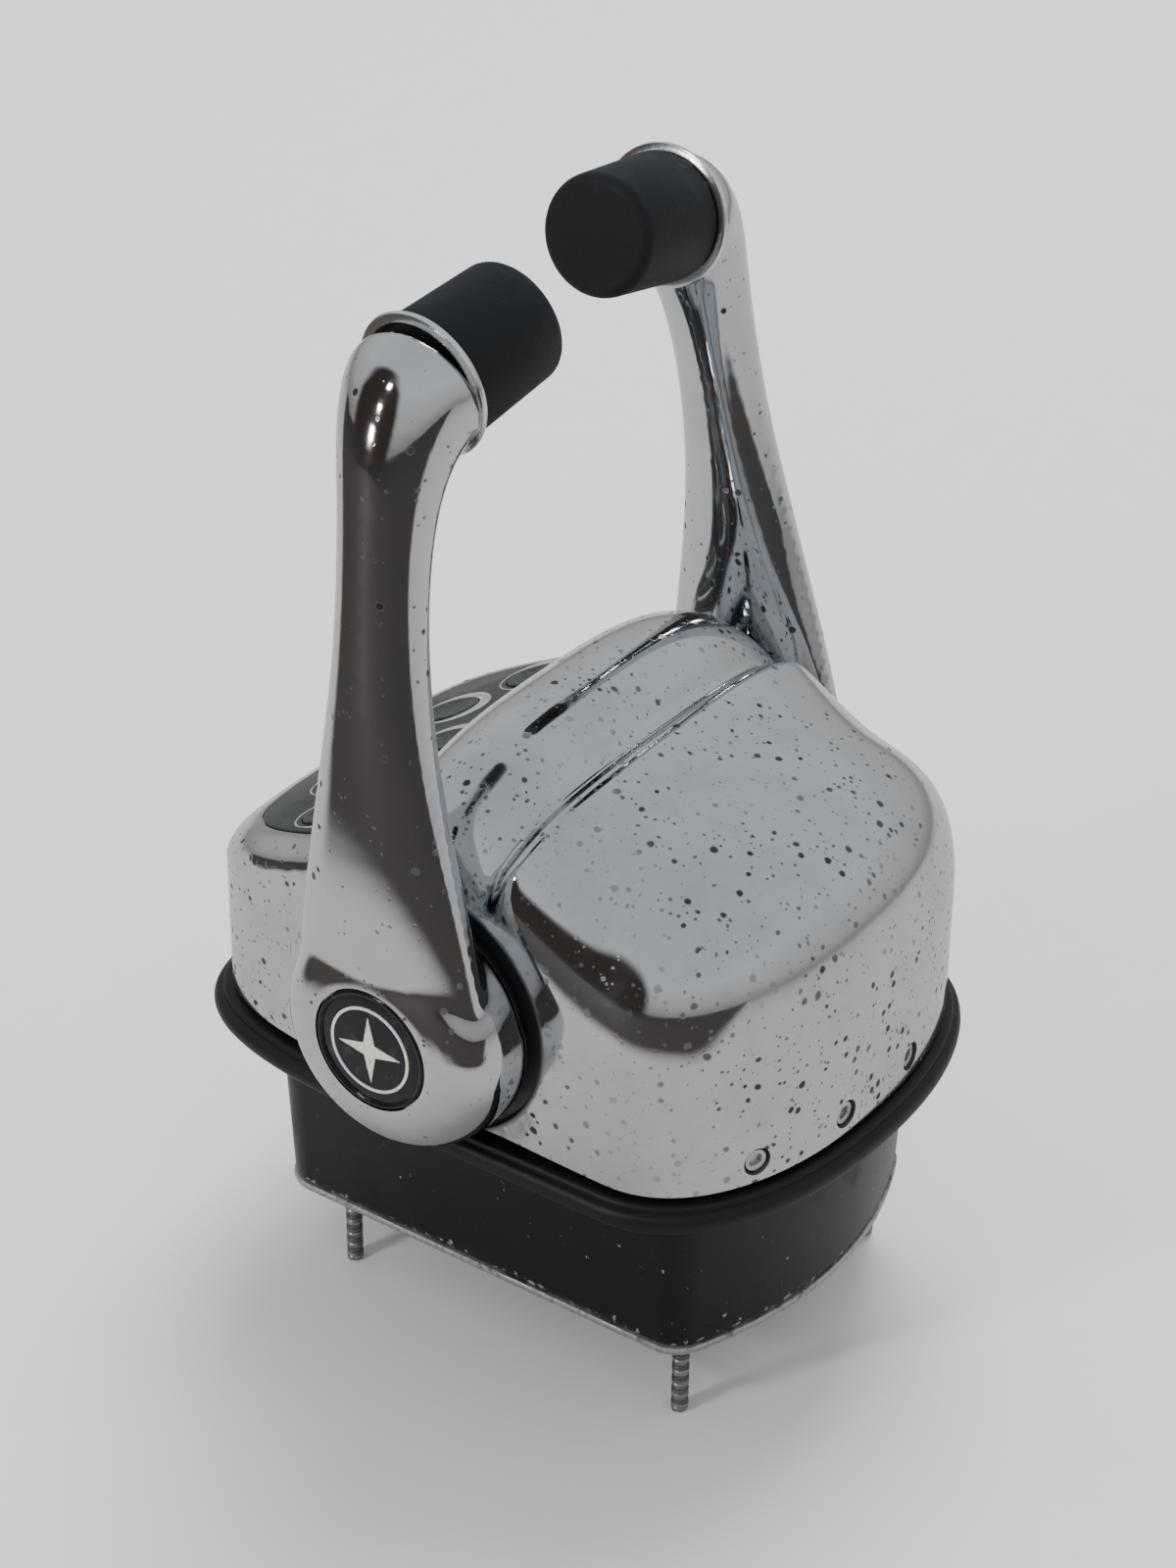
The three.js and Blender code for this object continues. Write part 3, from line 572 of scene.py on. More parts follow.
def outline(grow=0.0, count=720):
    angle = 2 * np.pi * np.arange(count) / count
    c, s = np.cos(angle), np.sin(angle)
    length, power = plan_end(PLAN_Y + s, grow)
    x = (HALF_WIDTH + grow) * np.sign(c) * np.abs(c) ** (2 / power)
    y = PLAN_Y + length * np.sign(s) * np.abs(s) ** (2 / power)
    return np.stack([x, y], axis=1)


def even_outline(step=0.5):
    """The same outline with its points evenly apart."""
    closed = np.vstack([outline(), outline()[:1]])
    along = np.concatenate([[0], np.cumsum(np.hypot(*np.diff(closed, axis=0).T))])
    places = np.arange(0, along[-1], step)
    return np.stack([np.interp(places, along, closed[:, k]) for k in (0, 1)], axis=1)


EDGE = even_outline()


def edge_distance(x, y):
    """Distance in plan to the outline."""
    best = np.full(x.shape, 1e9)
    for u, v in EDGE:
        best = np.minimum(best, np.hypot(u - x, v - y))
    return best


def panel_plane(y):
    return PANEL_LOW + PANEL_SLOPE * (y - PANEL_Y0)


def top_height(x, y):
    """Height of the casting's top above the pivot."""
    across = np.minimum(np.abs(x) / HALF_WIDTH, 1)
    off = np.abs(y - PIVOT.y)
    round_top = RIDGE_CENTRE + np.sqrt(np.maximum(RIDGE_RADIUS ** 2 - off ** 2, 0))
    ridge = np.where(off < RIDGE_RADIUS, round_top, RIDGE_CENTRE - 3 * (off - RIDGE_RADIUS))
    ridge = ridge - RIDGE_END_DROP * (1 - (1 - across ** 3) ** 0.6)
    rise = np.clip((SIDE_FRONT - y) / SIDE_RUN, 0, 1)
    side = SIDE_LOW + (SIDE_HIGH - SIDE_LOW) * rise * rise * (3 - 2 * rise)
    length, power = plan_end(y)
    reach = (np.abs(x / HALF_WIDTH) ** power
             + np.abs((y - PLAN_Y) / length) ** power) ** (1 / power)
    crown = (1 - np.minimum(reach, 1) ** CROWN_POWER) ** (1 / CROWN_POWER)
    top = DOME_TOP - DOME_SLOPE * np.maximum(y - DOME_START, 0)
    dome = side + (top - side) * crown - DOME_FALL * np.maximum(DOME_BACK - y, 0) ** 2
    panel = np.minimum(panel_plane(y), panel_plane(PANEL_BACK) - (y - PANEL_BACK))
    return smooth_max(smooth_max(ridge, dome, RIDGE_BLEND), panel, PANEL_BLEND)


def fillet_drop(x, y):
    """How far the round edge falls below the top. It's widest at the keypad end."""
    towards_keys = np.clip((-20 - y) / 30, 0, 1)
    along_dome = np.clip((60 - y) / 50, 0, 1)
    radius = (EDGE_FILLET + KEY_FILLET * towards_keys
              + DOME_FILLET * along_dome * (1 - towards_keys))
    inside = np.minimum(edge_distance(x, y), radius)
    return radius - np.sqrt(radius ** 2 - (radius - inside) ** 2)


# %% [markdown]
# The surface is a grid of rows from one side of the plan to the other, closer together where
# the form turns quickly, with the side wall dropped from its rim. A smaller copy of the same
# grid is cut out of it, because the real casting is hollow. The pockets round the hubs, the
# keypad opening and the screw holes are cut the same way, as a mill would cut them.

# %% Skin of the casting
WALL_LEVELS = 8
END_GAP = 0.006


def casting_skin(name, grow, lower, bottom, rows, columns):
    lengths = plan_end(rows)[0]
    y = PLAN_Y + (rows - PLAN_Y) * (lengths + grow) / lengths
    half = half_width(y, grow)
    spread = np.sin(np.pi * (np.arange(columns + 1) / columns - 0.5))
    x = half[:, None] * spread[None, :]
    yy = np.repeat(y[:, None], columns + 1, axis=1)
    drop = fillet_drop(x, yy) if grow == 0 else 0
    z = PIVOT.z + top_height(x, yy) - drop - lower
    count = len(y)
    rim = [(j, columns) for j in range(count)]
    rim += [(count - 1, i) for i in range(columns - 1, 0, -1)]
    rim += [(j, 0) for j in range(count - 1, -1, -1)]
    rim += [(0, i) for i in range(1, columns)]
    index = np.arange(count * (columns + 1)).reshape(count, columns + 1)
    points = np.stack([x, yy, z], axis=2).reshape(-1, 3).tolist()
    faces = []
    for j in range(count - 1):
        for i in range(columns):
            faces.append((index[j, i], index[j, i + 1], index[j + 1, i + 1], index[j + 1, i]))
    ring = [index[j, i] for j, i in rim]
    last = ring
    for level in range(1, WALL_LEVELS + 1):
        foot = []
        for k in ring:
            px, py, pz = points[k]
            foot.append(len(points))
            points.append([px, py, pz + (bottom - pz) * level / WALL_LEVELS])
        for i in range(len(ring)):
            k = (i + 1) % len(ring)
            faces.append((last[i], foot[i], foot[k], last[k]))
        last = foot
    faces.append(tuple(last))
    return make_object(name, points, faces, 50)


def eased_rows(count):
    """Rows along y, crowded towards both ends of the plan and starting a hair inside them."""
    part = np.arange(count + 1) / count
    half = (DOME_LENGTH + KEY_LENGTH) / 2 - END_GAP
    return PLAN_Y + (DOME_LENGTH - KEY_LENGTH) / 2 + half * np.sin(np.pi * (part - 0.5))


FINE = 150
housing = casting_skin("housing_shell", 0, 0, SKIRT_Z, eased_rows(FINE + 50), FINE)
fair = housing.modifiers.new("fair", "SMOOTH")
fair.factor = 0.5
fair.iterations = 4
bake(housing)
hollow = casting_skin("hollow", -WALL, WALL, SKIRT_Z - 2, eased_rows(50), 24)

PANEL_INSET, PANEL_TOP_Y, PANEL_RECESS = 7.5, -28, 1.0
PANEL_ANGLE = math.atan(PANEL_SLOPE)
KEY_SPOTS = [(-40, -47), (-21, -58), (0, -44), (21, -58), (40, -47)]
SCREW_X = (-41, -14, 14, 41)
SCREW_Z = PIVOT.z - 22.8


def panel_outline(inset):
    """Half-moon outline of the keypad in plan, closed by a straight edge with round corners."""
    grow = -PANEL_INSET - inset
    top = PANEL_TOP_Y - inset
    corner = 6.0
    half = float(half_width(np.array(top - corner), grow))
    points = [tuple(p) for p in outline(grow, 240) if p[1] < top - corner - 0.5]
    first, last = [], []
    for i in range(9):
        angle = math.pi / 2 * i / 8
        x, y = half - corner + corner * math.cos(angle), top - corner + corner * math.sin(angle)
        first.append((x, y))
        last.insert(0, (-x, y))
    return points + first + last


def on_panel(y=0.0):
    """Lays a piece built flat on to the sloping keypad, z = 0 on its plane."""
    place = Matrix.Translation(Vector((0, y, PIVOT.z + float(panel_plane(y)))) * MM)
    return place @ Matrix.Rotation(PANEL_ANGLE, 4, "X")


def panel_prism(name, inset, low, high, round_over=0.0):
    flat = [(x, y / math.cos(PANEL_ANGLE)) for x, y in panel_outline(inset)]
    middle = np.mean(flat, axis=0)
    rings = [[(x, y, low) for x, y in flat]]
    steps = 4 if round_over else 0
    for i in range(steps + 1):
        angle = math.pi / 2 * i / steps if steps else 0
        lift = high - round_over + round_over * math.sin(angle)
        back = round_over * (1 - math.cos(angle))
        ring = []
        for x, y in flat:
            away = np.array([x, y]) - middle
            away = away / np.linalg.norm(away) * back
            ring.append((x - away[0], y - away[1], lift))
        rings.append(ring)
    return move(make_object(name, *skin(rings)), on_panel())


def screw_place(x):
    """Place of an adjuster screw on the domed end, its X pointing out of the wall."""
    power = DOME_POWER
    y = PLAN_Y + DOME_LENGTH * (1 - abs(x / HALF_WIDTH) ** power) ** (1 / power)
    nx = math.copysign(abs(x / HALF_WIDTH) ** (power - 1), x) / HALF_WIDTH
    ny = abs((y - PLAN_Y) / DOME_LENGTH) ** (power - 1) / DOME_LENGTH
    turn_z = Matrix.Rotation(math.atan2(ny, nx), 4, "Z")
    return Matrix.Translation(Vector((x, y, SCREW_Z)) * MM) @ turn_z


tools = [hollow, panel_prism("recess", -0.3, -PANEL_RECESS, 30),
         panel_prism("opening", 2, -12, 20)]
AT_PIVOT = Matrix.Translation(PIVOT * MM)
MIRROR = Matrix.Scale(-1, 4, (1, 0, 0))
for side in (1, -1):
    pocket = turned("pocket", [(0, 60), (31.0, 60), (31.6, 60.6), (31.6, 90), (0, 90)])
    bore = turned("bore", [(0, 40), (9.3, 40), (9.3, 90), (0, 90)])
    for tool in (pocket, bore):
        tool.data.materials.append(pocket_chrome)
        tools.append(move(tool, AT_PIVOT @ (MIRROR if side < 0 else Matrix())))
for x in SCREW_X:
    hole = turned("hole", [(0, -12), (2.3, -12), (2.3, -2.4), (3.2, -2.4), (3.2, -0.5),
                           (3.9, 0.4), (3.9, 6), (0, 6)], segments=32)
    # The hole's cut walls take the dark spacer metal, as painted shade inside the screw hole round
    # its screw head.
    hole.data.materials.append(dark_spacer_and_hole_shade)
    tools.append(move(hole, screw_place(x)))
for piece in (housing, *tools[:3]):
    piece.data.materials.append(housing_chrome)
carve(housing, tools, 40)
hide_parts("upper_housing")
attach(housing, "base")
report(housing)


# %% [markdown]
# The levers. On the real part the hub and the arm are one casting with no edge between them.
# Two overlapping solids are made first, a turned hub and a tapered arm lofted along a bend.
# Voxel remeshing joins them, and smoothing, strongest where they meet, polishes the join away.
# The badge pocket and the bores come after, so that their edges stay crisp.

# %% Lever casting
HUB_INNER, HUB_RADIUS, HUB_FACE, BADGE_RADIUS = 62.8, 29.6, 83.4, 15.1
COLLAR = Vector((53, 0, 149.6))
GRIP_END = Vector((24, 1.8, 154.2))
COLLAR_RADIUS = 16.6
GRIP_RADIUS, GRIP_END_RADIUS = 15.2, 14.3
ARM = [(74, 0, 8.2, 27), (74.2, 12, 8.6, 26.2), (74.4, 24, 9, 24.2), (74.6, 36, 9.3, 21.6),
       (74.6, 48, 9.4, 18.9), (74.4, 60, 9.3, 16.4), (74, 72, 9.2, 14.2), (73, 84, 8.9, 12.3),
       (71.8, 96, 8.7, 11.1), (70.4, 108, 8.8, 10.6), (68.8, 119, 9.2, 10.7),
       (66.9, 128.5, 10, 11.4), (64.7, 136.4, 11.3, 12.7), (62, 142.2, 12.9, 14.1),
       (59.1, 146, 14.6, 15.3), (56.3, 148.4, 16, 16.3),
       (COLLAR.x, COLLAR.z, COLLAR_RADIUS, COLLAR_RADIUS)]


def arm_rings(stations, segments):
    rings = []
    for j, (x, z, deep, wide) in enumerate(stations):
        before, after = stations[max(j - 1, 0)], stations[min(j + 1, len(stations) - 1)]
        along = Vector((after[0] - before[0], 0, after[1] - before[1]))
        if j == len(stations) - 1:
            along = Vector((GRIP_END.x - COLLAR.x, 0, GRIP_END.z - COLLAR.z))
        along.normalize()
        ring = []
        for i in range(segments):
            angle = 2 * math.pi * i / segments
            a, b = deep * math.cos(angle), wide * math.sin(angle)
            ring.append((x + a * along.z, b, z - a * along.x))
        rings.append(ring)
    return rings


def along_grip():
    """Lays a piece turned about X along the grip, its zero at the collar."""
    direction = (GRIP_END - COLLAR).normalized()
    spin = Vector((1, 0, 0)).rotation_difference(direction).to_matrix().to_4x4()
    return Matrix.Translation(COLLAR * MM) @ spin


def relax(piece, rounds, weight):
    """Evens the skin out; the weight says how strongly each point moves."""
    group = piece.vertex_groups.new(name="relax")
    for vertex in piece.data.vertices:
        amount = weight(vertex.co / MM)
        if amount > 0:
            group.add([vertex.index], amount, "REPLACE")
    smooth = piece.modifiers.new("relax", "SMOOTH")
    smooth.factor = 0.5
    smooth.iterations = rounds
    smooth.vertex_group = group.name
    bake(piece)
    piece.vertex_groups.clear()


def near_join(point):
    """1 where the arm flows into the hub, 0 on the rest of the lever."""
    reach = math.hypot(point.y, point.z)
    if point.z < 4 or reach < 21:
        return 0.0
    return max(0.0, 1 - abs(reach - 31) / 15)


def lever_casting():
    lever = make_object("lever_casting", *skin(arm_rings(ARM, 40)))
    refine = lever.modifiers.new("even", "SUBSURF")
    refine.levels = refine.render_levels = 1
    bake(lever)
    inner = HUB_INNER
    hub = turned("hub", [(0, inner), (28.0, inner), (29.2, inner + 0.6),
                         (HUB_RADIUS, inner + 1.6), (HUB_RADIUS, 71.5), (29.2, 73.6),
                         (28.6, 75.4), (27.6, 77.5), (26.2, 79.4), (24.6, 80.8), (22.6, 81.7),
                         (20.4, 82.5), (18.2, 83), (16.3, HUB_FACE), (0, HUB_FACE)])
    whole = lever.modifiers.new("join", "BOOLEAN")
    whole.operation = "UNION"
    whole.object = hub
    voxels = lever.modifiers.new("skin", "REMESH")
    voxels.mode = "VOXEL"
    voxels.voxel_size = 0.0008
    voxels.use_smooth_shade = True
    bake(lever)
    bpy.data.objects.remove(hub)
    relax(lever, 16, lambda point: 1.0)
    relax(lever, 50, near_join)
    return lever


lever = lever_casting()
bores = [turned("pocket", [(0, 81.4), (15.4, 81.4), (15.4, 90), (0, 90)]),
         turned("bolt_head", [(0, 76), (7, 76), (7, 90), (0, 90)], segments=48),
         turned("bolt", [(0, 60), (3.3, 60), (3.3, 90), (0, 90)], segments=48),
         turned("shaft", [(0, 60), (6.3, 60), (6.3, 74), (0, 74)], segments=48),
         move(turned("spigot", [(0, -14), (6.3, -14), (6.3, 6), (0, 6)], segments=48),
              along_grip())]
carve(lever, bores)
report(lever)


# %% [markdown]
# Grips, badges and their places. The grip is turned: a sleeve that tapers a little to a rounded
# end, with a fine step where it meets the collar ring. The badge is a domed resin disc in a
# raised rim, and carries a plain four-pointed compass star as a general nautical sign.

# %% Grip, collar ring and badge
GRIP_LENGTH = (GRIP_END - COLLAR).length


def grip_sleeve():
    end = GRIP_LENGTH
    edge = 2.6
    profile = [(0, -13.5), (6, -13.5), (6, 0.9), (GRIP_RADIUS - 0.9, 0.9),
               (GRIP_RADIUS - 0.25, 1.15), (GRIP_RADIUS, 1.7)]
    for i in range(9):
        angle = math.pi / 2 * i / 8
        profile.append((GRIP_END_RADIUS - edge + edge * math.cos(angle),
                        end - edge + edge * math.sin(angle)))
    profile += [(6, end + 0.2), (0, end + 0.3)]
    return move(turned("grip", profile), along_grip())


def collar_ring():
    low, high = COLLAR_RADIUS - 0.9, COLLAR_RADIUS + 0.05
    profile = [(low, -1.4), (high, -1.2), (high + 0.25, -0.6), (high, 0.1), (low, 0.45),
               (low - 1, 0.5), (low - 1, -1.4), (low, -1.4)]
    return move(turned("collar_ring", profile), along_grip())


def badge_disc():
    profile = [(0, 81.7), (BADGE_RADIUS, 81.7), (BADGE_RADIUS, 82.9)]
    for i in range(9):
        angle = math.pi * i / 8
        profile.append((BADGE_RADIUS - 0.75 + 0.75 * math.cos(angle), 82.9 + 0.6 * math.sin(angle)))
    profile += [(12, 83.05), (8, 83.2), (4, 83.3), (0, 83.32)]
    return turned("badge", profile)


def compass_star():
    """A four-pointed star inside a thin ring, standing just proud of the resin."""
    rings = []
    for height in (83.2, 83.5):
        ring = []
        for i in range(8):
            angle = math.pi / 4 * i
            reach = 8.6 if i % 2 == 0 else 2.2
            ring.append((height, reach * math.sin(angle), reach * math.cos(angle)))
        rings.append(ring)
    star = make_object("star", *skin(rings))
    band = turned("band", [(10.2, 82.9), (10.9, 82.9), (10.9, 83.4), (10.2, 83.42), (10.2, 82.9)])
    merge(star, band)
    tidy_mesh(star, 30)
    return star


LEVER_PIECES = [(lever, "lever_arm", lever_chrome, "chrome"),
                (grip_sleeve(), "grip", grip_plastic, "grip_plastic"),
                (collar_ring(), "collar_ring", ring_silver, "chrome"),
                (badge_disc(), "hub_badge", badge_resin, "badge_resin"),
                (compass_star(), "compass_star", emblem_cream, "badge_resin")]
TILTS = {"starboard": math.radians(2), "port": math.radians(7)}
for side, tilt in TILTS.items():
    facing = Matrix() if side == "starboard" else MIRROR
    place = AT_PIVOT @ Matrix.Rotation(tilt, 4, "X") @ facing
    for model, part, material, slot in LEVER_PIECES:
        piece = move(copy_of(model, f"{part}_{side}_fine"), place)
        finish(piece, material)
        if f"{part}_{side}" in frame["nodes"]:
            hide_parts(f"{part}_{side}")
        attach(piece, f"lever_{side}")
for model, *_ in LEVER_PIECES:
    bpy.data.objects.remove(model)
print("levers placed at", [round(math.degrees(tilt), 1) for tilt in TILTS.values()], "degrees")


# %% [markdown]
# Keypad. The real one is a moulded half-moon film with five round keys. Each key sits in a
# bright ring that is thick on one side and thin on the other, like a crescent. The panel is a
# prism with rounded upper edges. The rings repeat, so Geometry Nodes draw one ring and place it
# on five points, and its thickness follows the angle round the circle.

# %% Geometry Nodes helpers
def new_tree(name, inputs):
    """A geometry tree with named number inputs, and its group input and output sockets."""
    tree = bpy.data.node_groups.new(name, "GeometryNodeTree")
    tree.interface.new_socket("Geometry", in_out="INPUT", socket_type="NodeSocketGeometry")
    for label, value in inputs.items():
        made = tree.interface.new_socket(label, in_out="INPUT", socket_type="NodeSocketFloat")
        made.default_value = value
    tree.interface.new_socket("Geometry", in_out="OUTPUT", socket_type="NodeSocketGeometry")
    entry = tree.nodes.new("NodeGroupInput")
    sockets = {label: Value(tree, entry.outputs[label]) for label in ["Geometry", *inputs]}
    return tree, sockets


def end_tree(tree, geometry, material):
    """Realize Instances and Set Material, then the group's output."""
    real = node(tree, "GeometryNodeRealizeInstances", {}, {0: geometry})
    painted = node(tree, "GeometryNodeSetMaterial", {}, {"Geometry": real, "Material": material})
    leave = tree.nodes.new("NodeGroupOutput")
    tree.links.new(painted.socket, leave.inputs[0])


def grow_piece(name, points, tree, values, material, crease=35):
    """Runs a tree on a few points and keeps the result as a plain mesh."""
    mesh = bpy.data.meshes.new(name)
    mesh.from_pydata([tuple(Vector(p) * MM) for p in points], [], [])
    piece = bpy.data.objects.new(name, mesh)
    bpy.context.scene.collection.objects.link(piece)
    modifier = piece.modifiers.new(name, "NODES")
    modifier.node_group = tree
    for item in tree.interface.items_tree:
        if item.in_out == "INPUT" and item.name in values:
            modifier[item.identifier] = float(values[item.name])
    bake(piece)
    tidy_mesh(piece, crease)
    finish(piece, material)
    return piece


# %% Keypad
RING = {"Ring Radius": 0.0087, "Thickness": 0.001, "Tilt": PANEL_ANGLE}


def crescent_tree():
    tree, get = new_tree("crescent_rings", RING)
    circle = node(tree, "GeometryNodeCurvePrimitiveCircle", {}, {"Resolution": 64,
                                                                 "Radius": get["Ring Radius"]})
    here = node(tree, "GeometryNodeInputPosition")
    parts = split(tree, here)
    towards = (parts.out("Y") * 0.82 - parts * 0.57) / get["Ring Radius"]
    swell = (0.75 + 0.75 * towards).math("MAXIMUM", 0.22)
    wire = node(tree, "GeometryNodeCurvePrimitiveCircle", {}, {"Resolution": 10,
                                                               "Radius": get["Thickness"]})
    tube = node(tree, "GeometryNodeCurveToMesh", {}, {"Curve": circle, "Profile Curve": wire,
                                                      "Scale": swell})
    flat = node(tree, "GeometryNodeTransform", {}, {"Geometry": tube, "Scale": (1, 1, 0.4)})
    lean = node(tree, "ShaderNodeCombineXYZ", {}, {"X": get["Tilt"]})
    placed = node(tree, "GeometryNodeInstanceOnPoints", {}, {"Points": get["Geometry"],
                                                             "Instance": flat, "Rotation": lean})
    end_tree(tree, placed, ring_silver)
    return tree


def panel_spot(x, y, lift=0.0):
    """A point of the keypad's film, given in plan, lifted off its surface."""
    drop = math.sin(PANEL_ANGLE) * lift
    return (x, y - drop, PIVOT.z + float(panel_plane(y)) + math.cos(PANEL_ANGLE) * lift)


panel = panel_prism("keypad_panel_fine", 0, -0.95, 0.35, 0.6)
key_holes = []
for x, y in KEY_SPOTS:
    hole = turned("key_hole", [(0, -5), (7.3, -5), (7.3, 5), (0, 5)], "z", 48)
    key_holes.append(move(hole, on_panel(y) @ Matrix.Translation((x * MM, 0, 0))))
carve(panel, key_holes)
finish(panel, keypad_film)
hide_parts("keypad_panel")
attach(panel, "base")

rings = grow_piece("key_rings", [panel_spot(x, y, 0.4) for x, y in KEY_SPOTS],
                   crescent_tree(), RING, ring_silver)
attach(rings, "base")

for number, (x, y) in enumerate(KEY_SPOTS, start=1):
    cap = turned(f"key_{number}_fine", [(0, -2), (6.95, -2), (6.95, 0.35), (6.8, 0.65),
                                        (6.45, 0.8), (5.6, 0.72), (4.2, 0.55), (0, 0.45)], "z", 64)
    move(cap, on_panel(y) @ Matrix.Translation((x * MM, 0, 0)))
    finish(cap, key_face)
    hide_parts(f"key_{number}")
    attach(cap, f"key_{number}")

mark = turned("indicator_mark", [(0, 0.2), (1.0, 0.2), (1.0, 0.5), (0.7, 0.65), (0, 0.68)],
              "z", 24)
move(mark, on_panel(-41) @ Matrix.Translation((-0.023, 0, 0)) @ Matrix.Scale(2.2, 4, (1, 0, 0)))
finish(mark, ring_silver)
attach(mark, "base")
report(panel)
report(rings)


# %% [markdown]
# The gasket is one rubber moulding that follows the casting's foot: a stepped lip under the
# chrome and a round bead that overhangs the case. Its section is the same all the way round, so
# it is a stack of outlines, each a little wider or narrower than the plan. The case is a deep
# painted pressing and the plate is sheet metal, so both are stacks of one barrel-shaped plan.

# %% Gasket, case and plate
GASKET_Z, CASE_Z, PLATE_Z = 67.0, 24.3, 22.0
CASE_HALF, CASE_END, CASE_Y, CASE_FLARE, CASE_WALL = 49.5, 69.8, 1.7, 1.6, 2.4
CASE_BOW, CASE_CORNER = 14.0, 9.0


def case_outline(grow, count=24):
    """Barrel plan of the case: straight sides, bowed ends and round corners."""
    radius, half, end = CASE_CORNER + grow, CASE_HALF + grow, CASE_END + grow
    cx = half - radius
    sweep = math.pi / 2 - math.atan(2 * CASE_BOW * cx / half ** 2)
    cy = end - CASE_BOW * (cx / half) ** 2 - radius
    quarter = []
    for i in range(count + 1):
        angle = sweep * i / count
        quarter.append((cx + radius * math.cos(angle), cy + radius * math.sin(angle)))
    x1, y1 = quarter[-1]
    for i in range(1, count + 1):
        x = x1 * (1 - i / count)
        quarter.append((x, y1 + (end - y1) * (1 - (x / x1) ** 2)))
    left = [(-x, y) for x, y in reversed(quarter[:-1])]
    upper = quarter + left
    lower = [(-x, -y) for x, y in upper]
    return [(x, y + CASE_Y) for x, y in upper + lower]


def stack(name, layers, plan, crease=50):
    return make_object(name, *skin([[(x, y, z) for x, y in plan(grow)] for grow, z in layers]),
                       crease)


def bead(grow_out, low, high, reach, steps=10):
    """Half-round bulge between two heights, as (grow, z) layers."""
    layers = []
    for i in range(steps + 1):
        angle = math.pi * (i / steps - 0.5)
        layers.append((grow_out - reach + reach * math.cos(angle),
                       (low + high) / 2 + (high - low) / 2 * math.sin(angle)))
    return layers


gasket_layers = [(1.9, GASKET_Z)] + bead(3.9, GASKET_Z + 0.05, 71.9, 1.5)[1:]
gasket_layers += [(2.0, 72.1), (1.95, 72.6), (1.9, 73.0), (1.6, 73.4), (1.0, 73.6)]
gasket = stack("gasket_moulding", gasket_layers, lambda grow: outline(grow, 360))
inside = stack("inside", [(CASE_FLARE + 0.3, 60), (CASE_FLARE + 0.3, 80)], case_outline)
carve(gasket, [inside])
finish(gasket, gasket_rubber)
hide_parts("deck_gasket")
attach(gasket, "base")
report(gasket)

case_layers = [(-0.9, CASE_Z), (-0.3, CASE_Z + 0.25), (0.05, CASE_Z + 0.9), (0.1, CASE_Z + 2),
               (CASE_FLARE, GASKET_Z - 1), (CASE_FLARE, SKIRT_Z - 0.3)]
case = stack("case_shell", case_layers, case_outline)
inside = stack("inside", [(-CASE_WALL, CASE_Z - 1), (CASE_FLARE - CASE_WALL, SKIRT_Z + 1)],
               case_outline)
carve(case, [inside])
finish(case, case_paint)
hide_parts("lower_case")
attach(case, "base")
report(case)

plate_layers = [(-0.1, PLATE_Z), (0.3, PLATE_Z + 0.3), (0.4, PLATE_Z + 0.7), (0.4, PLATE_Z + 1.5),
                (0.2, PLATE_Z + 1.9), (-0.1, PLATE_Z + 2)]
plate = stack("plate_stained", plate_layers, case_outline, 30)
STUDS = [(42, -42), (41.5, 55.5), (-41.5, 55.5), (-42, -42)]
CONNECTORS = [(-18, 12), (18, 12)]
STUD_HOLE, CONNECTOR_HOLE = 2.4, 8.3
holes = []
for (x, y), radius in ([(spot, STUD_HOLE) for spot in STUDS]
                       + [(spot, CONNECTOR_HOLE) for spot in CONNECTORS]):
    hole = turned("hole", [(0, 15), (radius, 15), (radius, 30), (0, 30)], "z", 48)
    holes.append(move(hole, Matrix.Translation((x * MM, y * MM, 0))))
carve(plate, holes, 30)
finish(plate, plate_steel)
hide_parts("base_plate")
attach(plate, "base")
report(plate)


# %% [markdown]
# Studs and screws. Threads could be a bump pattern, but a stud is seen from the side against a
# pale floor, where only real ridges show. One tree sweeps a small triangle along a helix round
# a core. It runs once for each stud, because each stud is a piece of its own, and a turned
# shank with a nut's collar is added above the plate. The socket screws are plain turned parts,
# each laid along the outward direction of the wall.

# %% Studs and adjuster screws
THREAD = {"Length": 0.0214, "Core": 0.00172, "Pitch": 0.0008, "Depth": 0.0004}
THREAD_START = 0.6


def stud_tree():
    tree, get = new_tree("threaded_studs", THREAD)
    turns = get["Length"] / get["Pitch"]
    helix = node(tree, "GeometryNodeCurveSpiral", {}, {"Resolution": 20, "Rotations": turns,
                                                       "Start Radius": get["Core"],
                                                       "End Radius": get["Core"],
                                                       "Height": get["Length"]})
    ridge = node(tree, "GeometryNodeCurvePrimitiveCircle", {}, {"Resolution": 3,
                                                                "Radius": get["Depth"]})
    thread = node(tree, "GeometryNodeCurveToMesh", {}, {"Curve": helix, "Profile Curve": ridge,
                                                        "Fill Caps": True})
    core = node(tree, "GeometryNodeMeshCylinder", {}, {"Vertices": 24, "Depth": get["Length"],
                                                       "Radius": get["Core"] + 0.0001})
    lift = node(tree, "ShaderNodeCombineXYZ", {}, {"Z": get["Length"] * 0.5})
    raised = node(tree, "GeometryNodeTransform", {}, {"Geometry": core, "Translation": lift})
    both = tree.nodes.new("GeometryNodeJoinGeometry")
    for part in (thread, raised):
        tree.links.new(part.socket, both.inputs[0])
    stud = Value(tree, both.outputs[0])
    placed = node(tree, "GeometryNodeInstanceOnPoints", {}, {"Points": get["Geometry"],
                                                             "Instance": stud})
    end_tree(tree, placed, stud_steel)
    return tree


